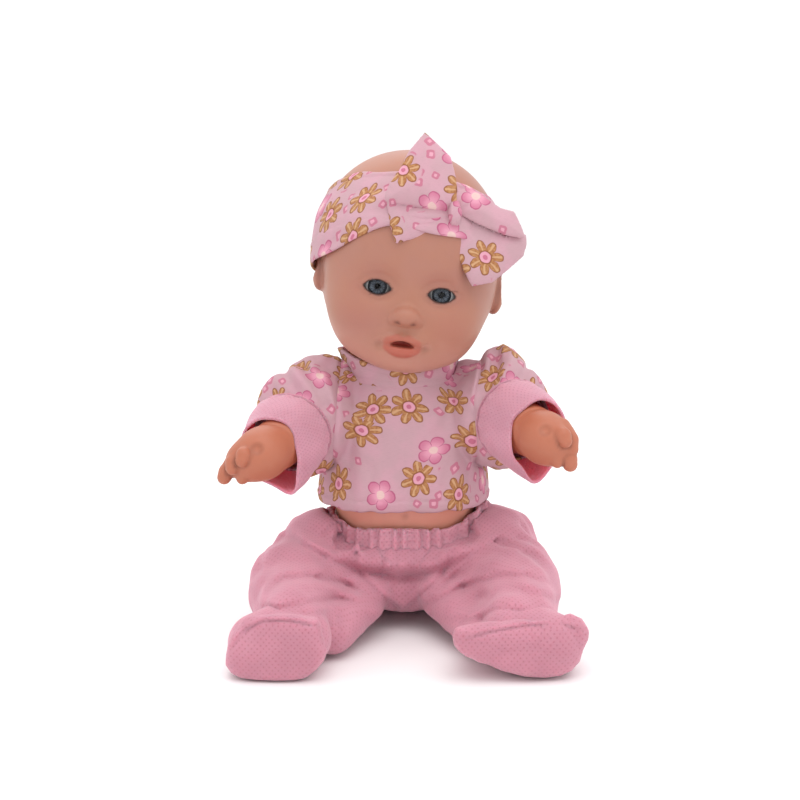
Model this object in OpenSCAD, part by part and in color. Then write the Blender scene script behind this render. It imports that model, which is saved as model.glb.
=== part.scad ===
// Seated interactive baby doll: vinyl head and limbs on a two-shell torso with
// a press-to-talk tummy, dressed in shirt, headband with bow and footed trousers.
// +Z is up, the doll faces -Y, the floor is z = 0 and the origin is the middle
// of the flat patch it sits on. The doll's left side is +X. Sizes in mm.

/* [Head] */
// Radius of the cranium
cranium_r = 37; // [34:0.5:38]
// Height of the cranium's centre above the floor, before the roll
cranium_z = 146; // [144:0.5:148]
// Sideways roll of the head as it rests (degrees)
head_roll = 7; // [0:0.5:8]
// Wall of the vinyl head
head_wall = 2.5; // [2:0.1:3]
// Radius of each eyeball
eye_r = 7.5; // [7:0.1:7.8]
// Half the distance between the eyes
eye_dx = 12.8; // [12:0.1:13.2]

/* [Torso] */
// Wall of the torso shells
torso_wall = 2.5; // [2:0.1:3]
// Radius of the neck ball
ball_r = 10; // [9.5:0.1:10]
// Radius of the shoulder plugs
shoulder_plug_r = 7; // [6:0.1:7.5]
// Radius of the hip plugs
hip_plug_r = 8; // [7:0.1:8.5]
// Radial running clearance of the plugs
run_fit = 0.05; // [0.03:0.01:0.08]

/* [Limbs] */
// Outward part of each arm's direction
arm_out = 0.38; // [0.34:0.01:0.42]
// How far the right arm hangs lower than the left (degrees)
right_arm_drop = 7; // [0:0.5:8]
// Radius of the palm
palm_r = 11; // [10:0.1:11.5]

/* [Clothes] */
// Height of the shirt's hem
hem_z = 47.6; // [47.4:0.1:50]
// Outer radius of the knit cuffs
cuff_r = 18.6; // [17.5:0.1:19]
// Height of the headband cloth
band_w = 25; // [20:0.5:26]

/* [Electronics] */
// Radius of the tummy button
button_r = 10; // [8:0.1:10.5]
// Travel of the tummy button
button_travel = 2; // [1:0.1:2]
// Radius of the speaker
speaker_r = 12; // [10:0.1:12.5]

/* [Hidden] */
$fn = 48;
fh = 26;                       // facets of blended shells
N = [0, 2, 104];               // centre of the neck ball
SX = 31; SY = 1; SZ = 82;      // shoulder point
HY = 0; HZ = 17.5;             // hip axis
arm_dir = [arm_out, -sqrt(1 - arm_out*arm_out - 0.0009), 0.03];
eye_y = -26; eye_z = 134; hx = -2;
btn_z = 58;
knee = [45, -36, 17]; ankle = [40, -66, 13.4];
heel = [38, -76, 12.4]; toe = [53.5, -80, 11.6];

skin = [0.86, 0.64, 0.53]; pink = [0.95, 0.62, 0.73]; pale = [0.97, 0.80, 0.85];

// ---- helpers ----
function unit(v) = v / norm(v);
// turns +Z onto direction d
module aim(d) rotate([0, acos(d[2]/norm(d)), atan2(d[1], d[0])]) children();
module roll() translate(N) rotate([0, head_roll, 0]) translate(-N) children();
// cylinder along +X or along +Y
module cyl_x(r, x0, x1, y, z) translate([x0, y, z]) rotate([0, 90, 0]) cylinder(r = r, h = x1 - x0);
module cyl_y(r, y0, y1, x, z) translate([x, y0, z]) rotate([-90, 0, 0]) cylinder(r = r, h = y1 - y0);
module ball(p, r, f = fh) translate(p) sphere(r = r, $fn = f);
module box(a, b) translate(a) cube(b - a);
module torso_form(o) hull() for (s = [-1, 1]) {
  ball([s*10, 0, 76], 20 + o);
  ball([s*8.5, -3, 50], 21 + o);
  ball([s*5, 1, 20], 16.5 + o);
}
module head_form(o) roll() hull() {
  ball([hx, 3, cranium_z], cranium_r + o);
  for (s = [-1, 1]) ball([hx + s*13, -14, 126], 22 + o);
  ball([hx, -26, 114], 12 + o);
}
// tube of radius r along points p, as one solid
module tube(p, r, n = 8) {
  m = len(p);
  function tan_at(i) = unit(p[min(i + 1, m - 1)] - p[max(i - 1, 0)]);
  function side(t) = unit(cross(t, abs(t[2]) < 0.9 ? [0, 0, 1] : [1, 0, 0]));
  pts = [for (i = [0:m-1]) let (t = tan_at(i), a = side(t), b = cross(t, a))
    for (k = [0:n-1]) p[i] + r*(cos(360*k/n)*a + sin(360*k/n)*b)];
  faces = concat([[for (k = [0:n-1]) k]], [[for (k = [n-1:-1:0]) (m-1)*n + k]],
    [for (i = [0:m-2]) for (k = [0:n-1]) let (k2 = (k + 1) % n) [i*n + k, (i+1)*n + k, (i+1)*n + k2]],
    [for (i = [0:m-2]) for (k = [0:n-1]) let (k2 = (k + 1) % n) [i*n + k, (i+1)*n + k2, i*n + k2]]);
  polyhedron(points = pts, faces = faces);
}

// ---- torso ----
module torso_cavity() intersection() {
  torso_form(-torso_wall);
  union() { box([-24.5, -60, 38], [24.5, 60, 120]); box([-18.5, -60, 0], [18.5, 60, 39]); }
}
module torso_body() difference() {
  union() {
    difference() {
      torso_form(0);
      for (s = [-1, 1]) {
        side_x(s, 21.6, 27.5, 60, SY, SZ);
        side_x(s, 15.4, 21.5, 60, HY, HZ);
      }
    }
    for (s = [-1, 1]) { side_x(s, 13, 12, 27.5, SY, SZ); side_x(s, 12.2, 8, 21.4, HY, HZ); }
  }
  torso_cavity();
  // room for the flanges of the push-in plugs
  for (s = [-1, 1]) { side_x(s, 9.7, 18, 24.5, SY, SZ); side_x(s, 10.6, 12, 18.6, HY, HZ); }
  cyl_x(shoulder_plug_r + run_fit, -40, 40, SY, SZ);
  cyl_x(hip_plug_r + run_fit, -40, 40, HY, HZ);
  translate([N[0], N[1], 84]) cylinder(r = 6.05, h = 30);
}
screw_at = [[-14.5, 64], [14.5, 64], [-14, 36], [14, 36]];
module screw_posts(y0, y1) intersection() { torso_form(-1.2); for (p = screw_at) cyl_y(3, y0, y1, p[0], p[1]); }
module torso_front() color(skin) difference() {
  union() {
    intersection() { torso_body(); box([-40, -60, 0], [40, 0.95, 110]); }
    screw_posts(-30, 0.95);
  }
  for (p = screw_at) cyl_y(1.25, -10, 2, p[0], p[1]);
  cyl_y(button_r + 0.1, -40, -12, 0, btn_z);
}
module torso_back() color(skin) difference() {
  union() {
    intersection() { torso_body(); box([-40, 1.05, 0], [40, 60, 110]); }
    screw_posts(1.05, 30);
  }
  for (p = screw_at) { cyl_y(1.35, 0, 40, p[0], p[1]); cyl_y(2.7, 9, 40, p[0], p[1]); }
  // battery door, slider slot and sound holes
  box([-10, 5, 21], [10, 40, 49]);
  box([-5.2, 10, 54.2], [5.2, 40, 57.8]);
  for (a = [0:60:300]) cyl_y(1.2, 10, 40, 6*cos(a), 72 + 6*sin(a));
  cyl_y(1.2, 10, 40, 0, 72);
}
module torso_screws() color("silver") for (p = screw_at) difference() {
  union() { cyl_y(1.2, -8, 9.5, p[0], p[1]); cyl_y(2.5, 9.05, 11, p[0], p[1]); }
  box([p[0] - 1.6, 10.2, p[1] - 0.3], [p[0] + 1.6, 12, p[1] + 0.3]);
}
module neck_post() color("ivory") difference() {
  translate([N[0], N[1], 0]) union() {
    translate([0, 0, 84.5]) cylinder(r = 9.5, h = 2.5);
    translate([0, 0, 86]) cylinder(r = 6, h = 14);
    translate([0, 0, N[2]]) sphere(r = ball_r);
    translate([0, -11.8, N[2]]) rotate([-90, 0, 0]) cylinder(r = 2, h = 23.6);
  }
  translate([N[0], N[1], 80]) cylinder(r = 3, h = 40);
}
// ring that carries the head: spherical seat inside, smooth neck bearing outside
module neck_ring() color("ivory") roll() translate(N) difference() {
  union() {
    translate([0, 0, -5]) cylinder(r = 13, h = 12);
    translate([0, 0, -5]) cylinder(r = 14.6, h = 1.8);
    translate([0, 0, 5.2]) cylinder(r = 14.6, h = 1.8);
  }
  sphere(r = ball_r + 0.06);
  translate([0, 0, -6]) cylinder(r = 8.7, h = 3);
  translate([0, 0, 5]) cylinder(r = 7.5, h = 3);
  // seats of the tilt pin
  translate([0, -12, 0]) rotate([-90, 0, 0]) cylinder(r = 2.06, h = 24);
}

// ---- head ----
module eye_slit(o) for (s = [-1, 1]) translate([hx + s*eye_dx, 0, eye_z]) intersection() {
  cyl_y(6.6 + o, -60, eye_y, 0, 3.2);
  cyl_y(6.6 + o, -60, eye_y, 0, -3.2);
}
module head_shell() color(skin) difference() {
  union() {
    head_form(0);
    roll() {
      translate([N[0], N[1], 100.8]) cylinder(r = 15.4, h = 14);
      translate([hx, -37.5, 123.5]) sphere(r = 4.6);
      for (s = [-1, 1]) {
        translate([hx + s*3.4, -36, 122.5]) sphere(r = 3);
        intersection() {
          translate([hx + s*35, -2, 132.5]) sphere(r = 6.4);
          translate([hx + s*36.4, -2, 132.5]) rotate([0, 90, s*14]) cylinder(r = 12, h = 5, center = true);
        }
      }
    }
  }
  difference() { head_form(-head_wall); roll() translate([N[0], N[1], 90]) cylinder(r = 15.4, h = 18); }
  roll() {
    translate([N[0], N[1], 90]) cylinder(r = 13.05, h = 25);
    translate([N[0], N[1], 108.9]) cylinder(r = 14.7, h = 2.4);
    eye_slit(0);
    // mouth: a shallow almond recess
    translate([hx, 0, 113.8]) intersection() { cyl_y(6, -50, -35.2, 0, 4.1); cyl_y(6, -50, -35.2, 0, -4.1); }
  }
  // seats of the eyeballs behind the lids
  for (s = [-1, 1]) at_eye(s) polygon(concat([[0, -eye_r - 0.08]], eye_arc(eye_r + 0.08, -80, 80), [[0, eye_r + 0.08]]));
}
// an eye part turned about its own sight line, z = 0 at the eye's centre, +z forward
module at_eye(s) roll() translate([hx + s*eye_dx, eye_y, eye_z]) rotate([90, 0, 0]) rotate_extrude() children();
function eye_arc(r, a0, a1) = [for (i = [0:12]) let (a = a0 + (a1 - a0)*i/12) [r*cos(a), r*sin(a)]];
iris_r = 3.65; iris_a = acos((iris_r + 0.05)/eye_r);
module eyeball(s) color("white") at_eye(s)
  polygon(concat([[0, 5.5], [0, -4.5], [3, -4.5]], eye_arc(eye_r, -acos(3/eye_r), iris_a), [[iris_r + 0.05, 5.5]]));
module left_eyeball() eyeball(1);
module right_eyeball() eyeball(-1);
module eye_irises() color([0.45, 0.52, 0.6]) for (s = [-1, 1]) at_eye(s)
  polygon([[0, 5.5], [iris_r, 5.5], [iris_r, 6.3], [1.5, 6.1], [1.5, 5.9], [0, 5.9]]);
module eye_lenses() color([0.9, 0.95, 1, 0.5]) for (s = [-1, 1]) at_eye(s)
  polygon(concat([[0, 6.35], [iris_r - 0.1, 6.35]], [for (i = [0:8]) let (a = acos((iris_r - 0.1)/eye_r)*(1 - i/8) + 90*i/8) [eye_r*cos(a), eye_r*sin(a)]]));
module eye_retainers() color("ivory") for (s = [-1, 1]) at_eye(s)
  polygon(concat([[5.5, -9.5], [9, -9.5], [9, 1]], [for (a = [4:-6:-44]) (eye_r + 0.08)*[cos(a), sin(a)]], [[5.5, -6]]));
// band of cloth round the head, high in front and low behind
module headband() color(pale) difference() {
  intersection() {
    head_form(2);
    roll() translate([hx, 3, cranium_z + 7]) rotate([-24, 0, 0]) cylinder(r = 60, h = band_w, center = true);
  }
  head_form(0.4);
}
module bow_knot() color(pale) difference() {
  translate([17.5, -34, 163]) rotate([0, 20, 0]) union() {
    cylinder(r = 4.6, h = 8, center = true);
    translate([0, 0, 4]) sphere(r = 4.6);
    translate([0, 0, -4]) sphere(r = 4.6);
  }
  head_form(2.1);
}
module bow_cut() { head_form(2.1); translate([17.5, -34, 163]) rotate([0, 20, 0]) cylinder(r = 4.7, h = 20, center = true); }
module bow_upper_wing() color(pale) difference() {
  hull() {
    ball([8.5, -26, 190], 2.2, 16); ball([-4, -37, 177], 2.6, 16); ball([-3, -41, 154], 2.4, 16);
    ball([15, -35.5, 166], 3.6, 16); ball([15, -36, 159], 3.2, 16);
  }
  bow_cut();
}
module bow_lower_wing() color(pale) difference() {
  hull() {
    ball([41, -27, 161], 2.4, 16); ball([44.5, -26, 152], 2.4, 16); ball([37, -33, 138], 2.2, 16);
    ball([26, -38, 136], 2.2, 16); ball([20, -35, 166], 3.2, 16); ball([20, -35.5, 159], 3.4, 16);
  }
  bow_cut();
}

// ---- arms: turned profile along the arm, moulded fingers, plug along X ----
arm_prof = [[0, 0], [11.4, 0], [11.9, 6], [12.1, 14], [12, 23], [11.4, 32], [10.2, 40],
  [9.3, 45], [9.8, 49], [palm_r, 54], [palm_r, 60], [9.6, 65], [6, 68.4], [0, 69.4]];
// a finger: base point, direction, length and radius in the arm's own frame
module finger(p, d, l, r) hull() {
  ball(p, r, 16);
  ball(p + (l - r)*unit(d), r*0.86, 16);
}
// s is the side (+1 left, -1 right), so the arm's direction and the sweep of its parts follow it
module along_arm(s) translate([s*SX, SY, SZ]) aim([s*arm_dir[0], arm_dir[1], arm_dir[2]]) children();
module drop(s) translate([0, SY, SZ]) rotate([s < 0 ? right_arm_drop : 0, 0, 0]) translate([0, -SY, -SZ]) children();
module side_x(s, r, x0, x1, y, z) cyl_x(r, s > 0 ? x0 : -x1, s > 0 ? x1 : -x0, y, z);
module inner_side(s, x) box([s > 0 ? -10 : -x, -200, -100], [s > 0 ? x : 10, 200, 300]);
module arm(s) color(skin) drop(s) difference() {
  union() {
    difference() {
      union() {
        along_arm(s) {
          rotate_extrude() polygon(arm_prof);
          for (i = [0:3]) finger([-3.2, s*(-6.2 + 4.2*i), 63], [-0.3, s*(-0.12 + 0.08*i), 1], 11.5 - 1.3*abs(i - 1.4), 2.6);
          finger([-6.5, s*(-7), 55], [-0.6, s*(-0.6), 0.9], 11, 3);
        }
        translate([s*SX, SY, SZ]) sphere(r = 12.8);
      }
      inner_side(s, 27.8);
    }
    side_x(s, shoulder_plug_r, 22.4, 30, SY, SZ);
    side_x(s, 9.4, 22.2, 24.2, SY, SZ);
  }
  side_x(s, 4, 20, 26, SY, SZ);
}
module left_arm() arm(1);
module right_arm() arm(-1);
module sleeve(s) color(pale) drop(s) difference() {
  along_arm(s) rotate_extrude()
    polygon([[13.2, -3], [15.6, -3], [16.8, 6], [17.2, 18], [16.6, 26], [16, 29], [14.6, 29], [14.6, 18], [13.2, 12]]);
  inner_side(s, 28.3);
}
module left_sleeve() sleeve(1);
module right_sleeve() sleeve(-1);
module cuff(s) color(pink) drop(s) difference() {
  along_arm(s) rotate_extrude()
    polygon([[14.8, 29.2], [16.4, 29.2], [17.6, 36], [cuff_r, 46], [cuff_r - 1.6, 46.4], [15.9, 36]]);
  inner_side(s, 32.2);
}
module left_cuff() cuff(1);
module right_cuff() cuff(-1);

// ---- legs ----
module leg_form(o, hip_r) {
  hull() { ball([31, HY, HZ], hip_r + o, 24); ball(knee, 12.6 + o, 24); }
  hull() { ball(knee, 12.6 + o, 24); ball(ankle, 9.8 + o, 24); }
  hull() { ball(ankle + [0, -2, 0], 9.6 + o, 24); ball(heel, 9.2 + o, 24); ball(toe, 8.4 + o, 24); }
}
module leg() color(skin) difference() {
  union() {
    difference() { leg_form(0, 12.6); box([-10, -200, -100], [27.1, 200, 100]); }
    cyl_x(12.6, 21.8, 31, HY, HZ);
    cyl_x(hip_plug_r, 16, 22.5, HY, HZ);
    cyl_x(10.4, 15.8, 18.2, HY, HZ);
  }
  cyl_x(4, 14, 20, HY, HZ);
}
module left_leg() leg();
module right_leg() mirror([1, 0, 0]) leg();
module trouser_leg() color(pink) difference() {
  union() {
    difference() { leg_form(3.2, 13); box([-10, -200, -100], [27, 200, 100]); }
    cyl_x(14.9, 22.2, 29, HY, HZ);
  }
  leg_form(0.4, 12.6);
  cyl_x(13, 10, 31, HY, HZ);
  box([-10, -200, -20], [120, 200, 0.1]);
}
module left_trouser_leg() trouser_leg();
module right_trouser_leg() mirror([1, 0, 0]) trouser_leg();

// ---- shirt ----
module shirt_shell() difference() {
  torso_form(2.1);
  torso_form(0.6);
  box([-60, -60, -10], [60, 60, hem_z]);
  box([27.6, -60, -10], [60, 60, 120]);
  box([-60, -60, -10], [-27.6, 60, 120]);
  cyl_x(14.2, -60, 60, SY, SZ);
  translate([0, 0.5, 80]) cylinder(r = 16.6, h = 40);
}
module back_slot(o) box([-5 + o, 2, 62 + o], [5 - o, 60, 110]);
module shirt_body() color(pale) difference() { shirt_shell(); back_slot(0); }
module shirt_back_fastener() color(pale) intersection() { shirt_shell(); back_slot(0.1); }
module shirt_collar() color(pale) difference() {
  translate([0, 0.5, 94.5]) rotate([9, 0, 0]) difference() {
    translate([0, 0, -9]) cylinder(r = 18.6, h = 12);
    translate([0, 0, -12]) cylinder(r = 17, h = 20);
  }
  torso_form(2.3);
}

// ---- trousers ----
module waist_plane(z) translate([0, 0, z]) rotate([10, 0, 0]) children();
module waistband() color(pink) difference() {
  intersection() { torso_form(3); waist_plane(39) box([-80, -80, 0], [80, 80, 4.2]); }
  torso_form(0.8);
  difference() {
    intersection() { torso_form(2.4); waist_plane(39) box([-80, -80, -1], [80, 80, 3.4]); }
    torso_form(1.5);
  }
}
module waist_elastic() color("white") difference() {
  intersection() { torso_form(2.3); waist_plane(39) box([-80, -80, 0.9], [80, 80, 3.3]); }
  torso_form(1.6);
}
module trouser_seat() color(pink) difference() {
  hull() for (s = [-1, 1]) { ball([s*5, 0.5, 20], 24); ball([s*8.5, -3, 46], 24.3); }
  torso_form(0.6);
  waist_plane(38.9) box([-80, -80, 0], [80, 80, 80]);
  box([-60, -60, -30], [60, 60, 0]);
  box([26.7, -60, -10], [80, 60, 90]);
  box([-80, -60, -10], [-26.7, 60, 90]);
  for (s = [-1, 1]) { side_x(s, 15.2, 20, 60, HY, HZ); side_x(s, 12.4, 6, 60, HY, HZ); }
}

// ---- electronics ----
module tummy_button() color("white") union() {
  intersection() { torso_form(0); cyl_y(button_r, -40, -17, 0, btn_z); }
  cyl_y(button_r + 1.6, -18, -16.4, 0, btn_z);
  cyl_y(2, -17, -11.6 - 0.15, 0, btn_z);
}
module button_spring() color("silver")
  tube([for (i = [0:54]) let (a = i*360*5/54) [4.2*cos(a), -15.9 + i*(7.9/54), btn_z + 4.2*sin(a)]], 0.4);
module tact_switch() color("black") union() {
  box([-2.4, -8.9, btn_z - 2.4], [2.4, -7.55, btn_z + 2.4]);
  cyl_y(1.6, -9.6, -8.5, 0, btn_z);
}
module circuit_board() color("green") difference() {
  box([-9.8, -7.5, 30], [9.8, -5.9, 66]);
  for (x = [-7, 7]) cyl_y(1.2, -9, -5, x, 33);
}
module sound_chip() color([0.1, 0.1, 0.1]) union() {
  translate([0, -5.85, 40]) rotate([-90, 0, 0]) cylinder(r = 4.5, h = 1.6);
  for (x = [-6, 6]) box([x - 1.2, -5.85, 48], [x + 1.2, -4.7, 51]);
}
module speaker_frame() color("dimgray") translate([0, 0, 72]) difference() {
  union() {
    cyl_y(speaker_r, 9.5, 11, 0, 0);
    cyl_y(speaker_r - 1.5, 5, 9.6, 0, 0);
    cyl_y(6, 2.2, 5.1, 0, 0);
  }
  cyl_y(speaker_r - 2.6, 6, 12, 0, 0);
}
module speaker_cone() color([0.2, 0.2, 0.2]) translate([0, 6.3, 72]) rotate([-90, 0, 0]) rotate_extrude()
  polygon([[0, 0], [3, 0], [4.5, 0.8], [speaker_r - 2.8, 3.4], [speaker_r - 2.8, 3.9], [4.2, 1.6], [0, 1.8]]);
module battery_box() color("ivory") difference() {
  box([-8.4, -0.5, 22.5], [8.4, 13.4, 47]);
  translate([0, 6.6, 24.2]) cylinder(r = 6.1, h = 21.2);
  box([-6.1, 6.6, 24.2], [6.1, 20, 45.4]);
}
module battery_cells() color("silver") for (i = [0:2]) translate([0, 6.6, 26.4 + i*5.55]) union() {
  cylinder(r = 5.8, h = 4.4);
  translate([0, 0, 4.4]) cylinder(r = 4.8, h = 1);
}
module battery_contacts() color("gold") union() {
  translate([0, 6.6, 24.3]) cylinder(r = 3.5, h = 0.5);
  translate([0, 6.6, 24.7]) cylinder(r1 = 3.2, r2 = 1.2, h = 1.5);
  translate([0, 6.6, 43.6]) cylinder(r = 3.5, h = 1.5);
}
module battery_door() color(skin) difference() {
  intersection() {
    difference() { torso_form(0); torso_form(-torso_wall + 0.1); }
    box([-9.8, 6, 21.2], [9.8, 40, 48.8]);
  }
  cyl_y(1.3, 0, 40, 0, 46.4);
  cyl_y(2.2, 16, 40, 0, 46.4);
}
module battery_door_screw() color("silver") difference() {
  union() { cyl_y(1.2, 14, 16.3, 0, 46.4); cyl_y(2, 16.02, 17.2, 0, 46.4); }
  box([-1.4, 16.8, 46.1], [1.4, 19, 46.7]);
}
// slider cap and the switch it sits on
module power_slider() color("white") union() {
  box([-4.6, 14.4, 54.6], [-0.6, 17, 57.4]);
  box([-8, 13, 53], [2.8, 14.4, 59]);
}
module power_switch_base() color("dimgray") difference() {
  box([-8.6, 9.4, 52.4], [8.6, 12.8, 59.4]);
  box([-7.4, 10.6, 53.6], [7.4, 13, 58.2]);
}
module battery_wires() color("red") for (s = [-1, 1])
  tube([[s*3, -0.7, 28], [s*3.4, -1.6, 28.4], [s*4, -2.4, 30], [s*4.6, -3, 32], [s*5, -3.8, 33.4], [s*5.2, -5, 34], [s*5.2, -5.8, 34]], 0.5);
module speaker_wires() color("black") for (s = [-1, 1])
  tube([[s*3, 2, 72], [s*3, 0.8, 71.6], [s*3.2, -0.8, 70], [s*3.6, -2.4, 67], [s*4, -3.6, 64], [s*4, -4.8, 62.6], [s*4, -5.8, 62.4]], 0.5);

torso_front();
torso_back();
torso_screws();
neck_post();
neck_ring();
head_shell();
left_eyeball();
right_eyeball();
eye_irises();
eye_lenses();
eye_retainers();
headband();
bow_knot();
bow_upper_wing();
bow_lower_wing();
left_arm();
right_arm();
left_sleeve();
right_sleeve();
left_cuff();
right_cuff();
left_leg();
right_leg();
left_trouser_leg();
right_trouser_leg();
shirt_body();
shirt_collar();
shirt_back_fastener();
trouser_seat();
waistband();
waist_elastic();
tummy_button();
button_spring();
tact_switch();
circuit_board();
sound_chip();
speaker_frame();
speaker_cone();
battery_box();
battery_cells();
battery_contacts();
battery_door();
battery_door_screw();
power_slider();
power_switch_base();
battery_wires();
speaker_wires();
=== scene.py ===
import bpy, math
import numpy as np
from mathutils import Vector, Matrix


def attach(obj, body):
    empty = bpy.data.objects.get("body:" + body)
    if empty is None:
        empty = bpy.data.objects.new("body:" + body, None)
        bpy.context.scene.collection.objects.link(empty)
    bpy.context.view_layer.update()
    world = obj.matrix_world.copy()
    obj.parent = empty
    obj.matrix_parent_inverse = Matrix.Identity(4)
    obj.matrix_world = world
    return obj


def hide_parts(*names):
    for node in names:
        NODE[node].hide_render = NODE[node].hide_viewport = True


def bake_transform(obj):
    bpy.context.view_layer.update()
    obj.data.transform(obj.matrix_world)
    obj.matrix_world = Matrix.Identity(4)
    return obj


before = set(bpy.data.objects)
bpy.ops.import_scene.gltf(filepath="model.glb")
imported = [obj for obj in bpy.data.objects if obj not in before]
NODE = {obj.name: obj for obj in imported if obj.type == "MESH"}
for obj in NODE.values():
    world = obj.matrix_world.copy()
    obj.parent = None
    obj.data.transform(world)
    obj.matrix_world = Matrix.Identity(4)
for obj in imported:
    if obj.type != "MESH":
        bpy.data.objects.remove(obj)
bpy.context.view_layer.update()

scene = bpy.context.scene
A = np.array
PI = math.pi

# =====================================================================
# camera, light, floor
# =====================================================================
CAM_T = A([-2.0, 0.0, 86.0]); CAM_D = 750.0; CAM_E = math.radians(11.0); LENS = 85.0


def make_camera():
    cd = bpy.data.cameras.new("camera"); cam = bpy.data.objects.new("camera", cd)
    scene.collection.objects.link(cam)
    cd.sensor_width = 36.0; cd.lens = LENS; cd.clip_start = 0.01; cd.clip_end = 20
    pos = CAM_T + CAM_D * A([0, -math.cos(CAM_E), math.sin(CAM_E)])
    cam.location = Vector(pos * 0.001)
    d = Vector(CAM_T - pos)
    cam.rotation_euler = d.to_track_quat("-Z", "Y").to_euler()
    scene.camera = cam


def area(name, loc, target, size, power, col=(1, 1, 1), shape="SQUARE", size_y=None):
    ld = bpy.data.lights.new(name, "AREA"); ld.energy = power; ld.size = size; ld.color = col
    if size_y:
        ld.shape = "RECTANGLE"; ld.size_y = size_y
    o = bpy.data.objects.new(name, ld); scene.collection.objects.link(o)
    o.location = loc
    o.rotation_euler = (Vector(target) - Vector(loc)).to_track_quat("-Z", "Y").to_euler()
    return o


def new_mat(name):
    m = bpy.data.materials.new(name); m.use_nodes = True
    nt = m.node_tree
    return m, nt, nt.nodes["Principled BSDF"]


def make_stage():
    # the floor runs far out so its edge is never seen
    me = bpy.data.meshes.new("floor")
    s = 6.0
    me.from_pydata([(-s, -s, -0.0002), (s, -s, -0.0002), (s, s, -0.0002), (-s, s, -0.0002)], [], [(0, 1, 2, 3)])
    o = bpy.data.objects.new("floor", me); scene.collection.objects.link(o)
    m, nt, b = new_mat("floor_white")
    b.inputs["Base Color"].default_value = (0.93, 0.93, 0.93, 1)
    b.inputs["Roughness"].default_value = 0.9
    b.inputs["Specular IOR Level"].default_value = 0.1
    me.materials.append(m)
    w = bpy.data.worlds.new("studio"); scene.world = w; w.use_nodes = True
    bg = w.node_tree.nodes["Background"]
    bg.inputs["Color"].default_value = (1, 1, 1, 1); bg.inputs["Strength"].default_value = 1.13
    scene.view_settings.view_transform = "Standard"
    scene.view_settings.look = "None"
    scene.view_settings.exposure = 0.0
    area("key_top", (0.10, -0.25, 0.95), (0, 0, 0.08), 0.9, 3.3)
    area("back_top", (-0.15, 0.55, 0.75), (0, 0, 0.1), 0.7, 1.3)


# =====================================================================
# signed distance shapes (mm)
# =====================================================================
def nrm(v): return np.sqrt((v * v).sum(-1))
def sph(P, c, r): return nrm(P - A(c)) - r
def ell(P, c, r, R=None):
    q = P - A(c)
    if R is not None: q = q @ R
    r = A(r, dtype=np.float64) if isinstance(r, list) else A(r)
    k0 = nrm(q / r); k1 = nrm(q / (r * r)) + 1e-9
    return k0 * (k0 - 1.0) / k1
def cone(P, a, b, ra, rb):
    a = A(a, dtype=float); b = A(b, dtype=float)
    ab = b - a; t = np.clip(((P - a) @ ab) / (ab @ ab), 0, 1)
    return nrm(P - (a + t[..., None] * ab)) - (ra + (rb - ra) * t)
def smin(a, b, k):
    h = np.clip(0.5 + 0.5 * (b - a) / k, 0, 1)
    return b * (1 - h) + a * h - k * h * (1 - h)
def smax(a, b, k): return -smin(-a, -b, k)
def gauss(x): return np.exp(-x * x)
def sstep(a, b, x):
    t = np.clip((x - a) / (b - a), 0, 1); return t * t * (3 - 2 * t)
def rotm(ax, deg):
    return np.array(Matrix.Rotation(math.radians(deg), 3, ax))


def hash_noise(P, seed=0):
    """smooth value noise in 3-D, -1..1, one cell per unit"""
    P = np.asarray(P, dtype=np.float64)
    i = np.floor(P).astype(np.int64); f = P - i
    f = f * f * (3 - 2 * f)
    out = 0
    for dx in (0, 1):
        for dy in (0, 1):
            for dz in (0, 1):
                n = (i[..., 0] + dx) * 374761393 + (i[..., 1] + dy) * 668265263 + (i[..., 2] + dz) * 2147483647 + seed * 1274126177
                n = (n ^ (n >> 13)) * 1274126177
                n = (n ^ (n >> 16)) & 0xffff
                v = n / 32767.5 - 1
                w = (f[..., 0] if dx else 1 - f[..., 0]) * (f[..., 1] if dy else 1 - f[..., 1]) * (f[..., 2] if dz else 1 - f[..., 2])
                out = out + v * w
    return out


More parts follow.
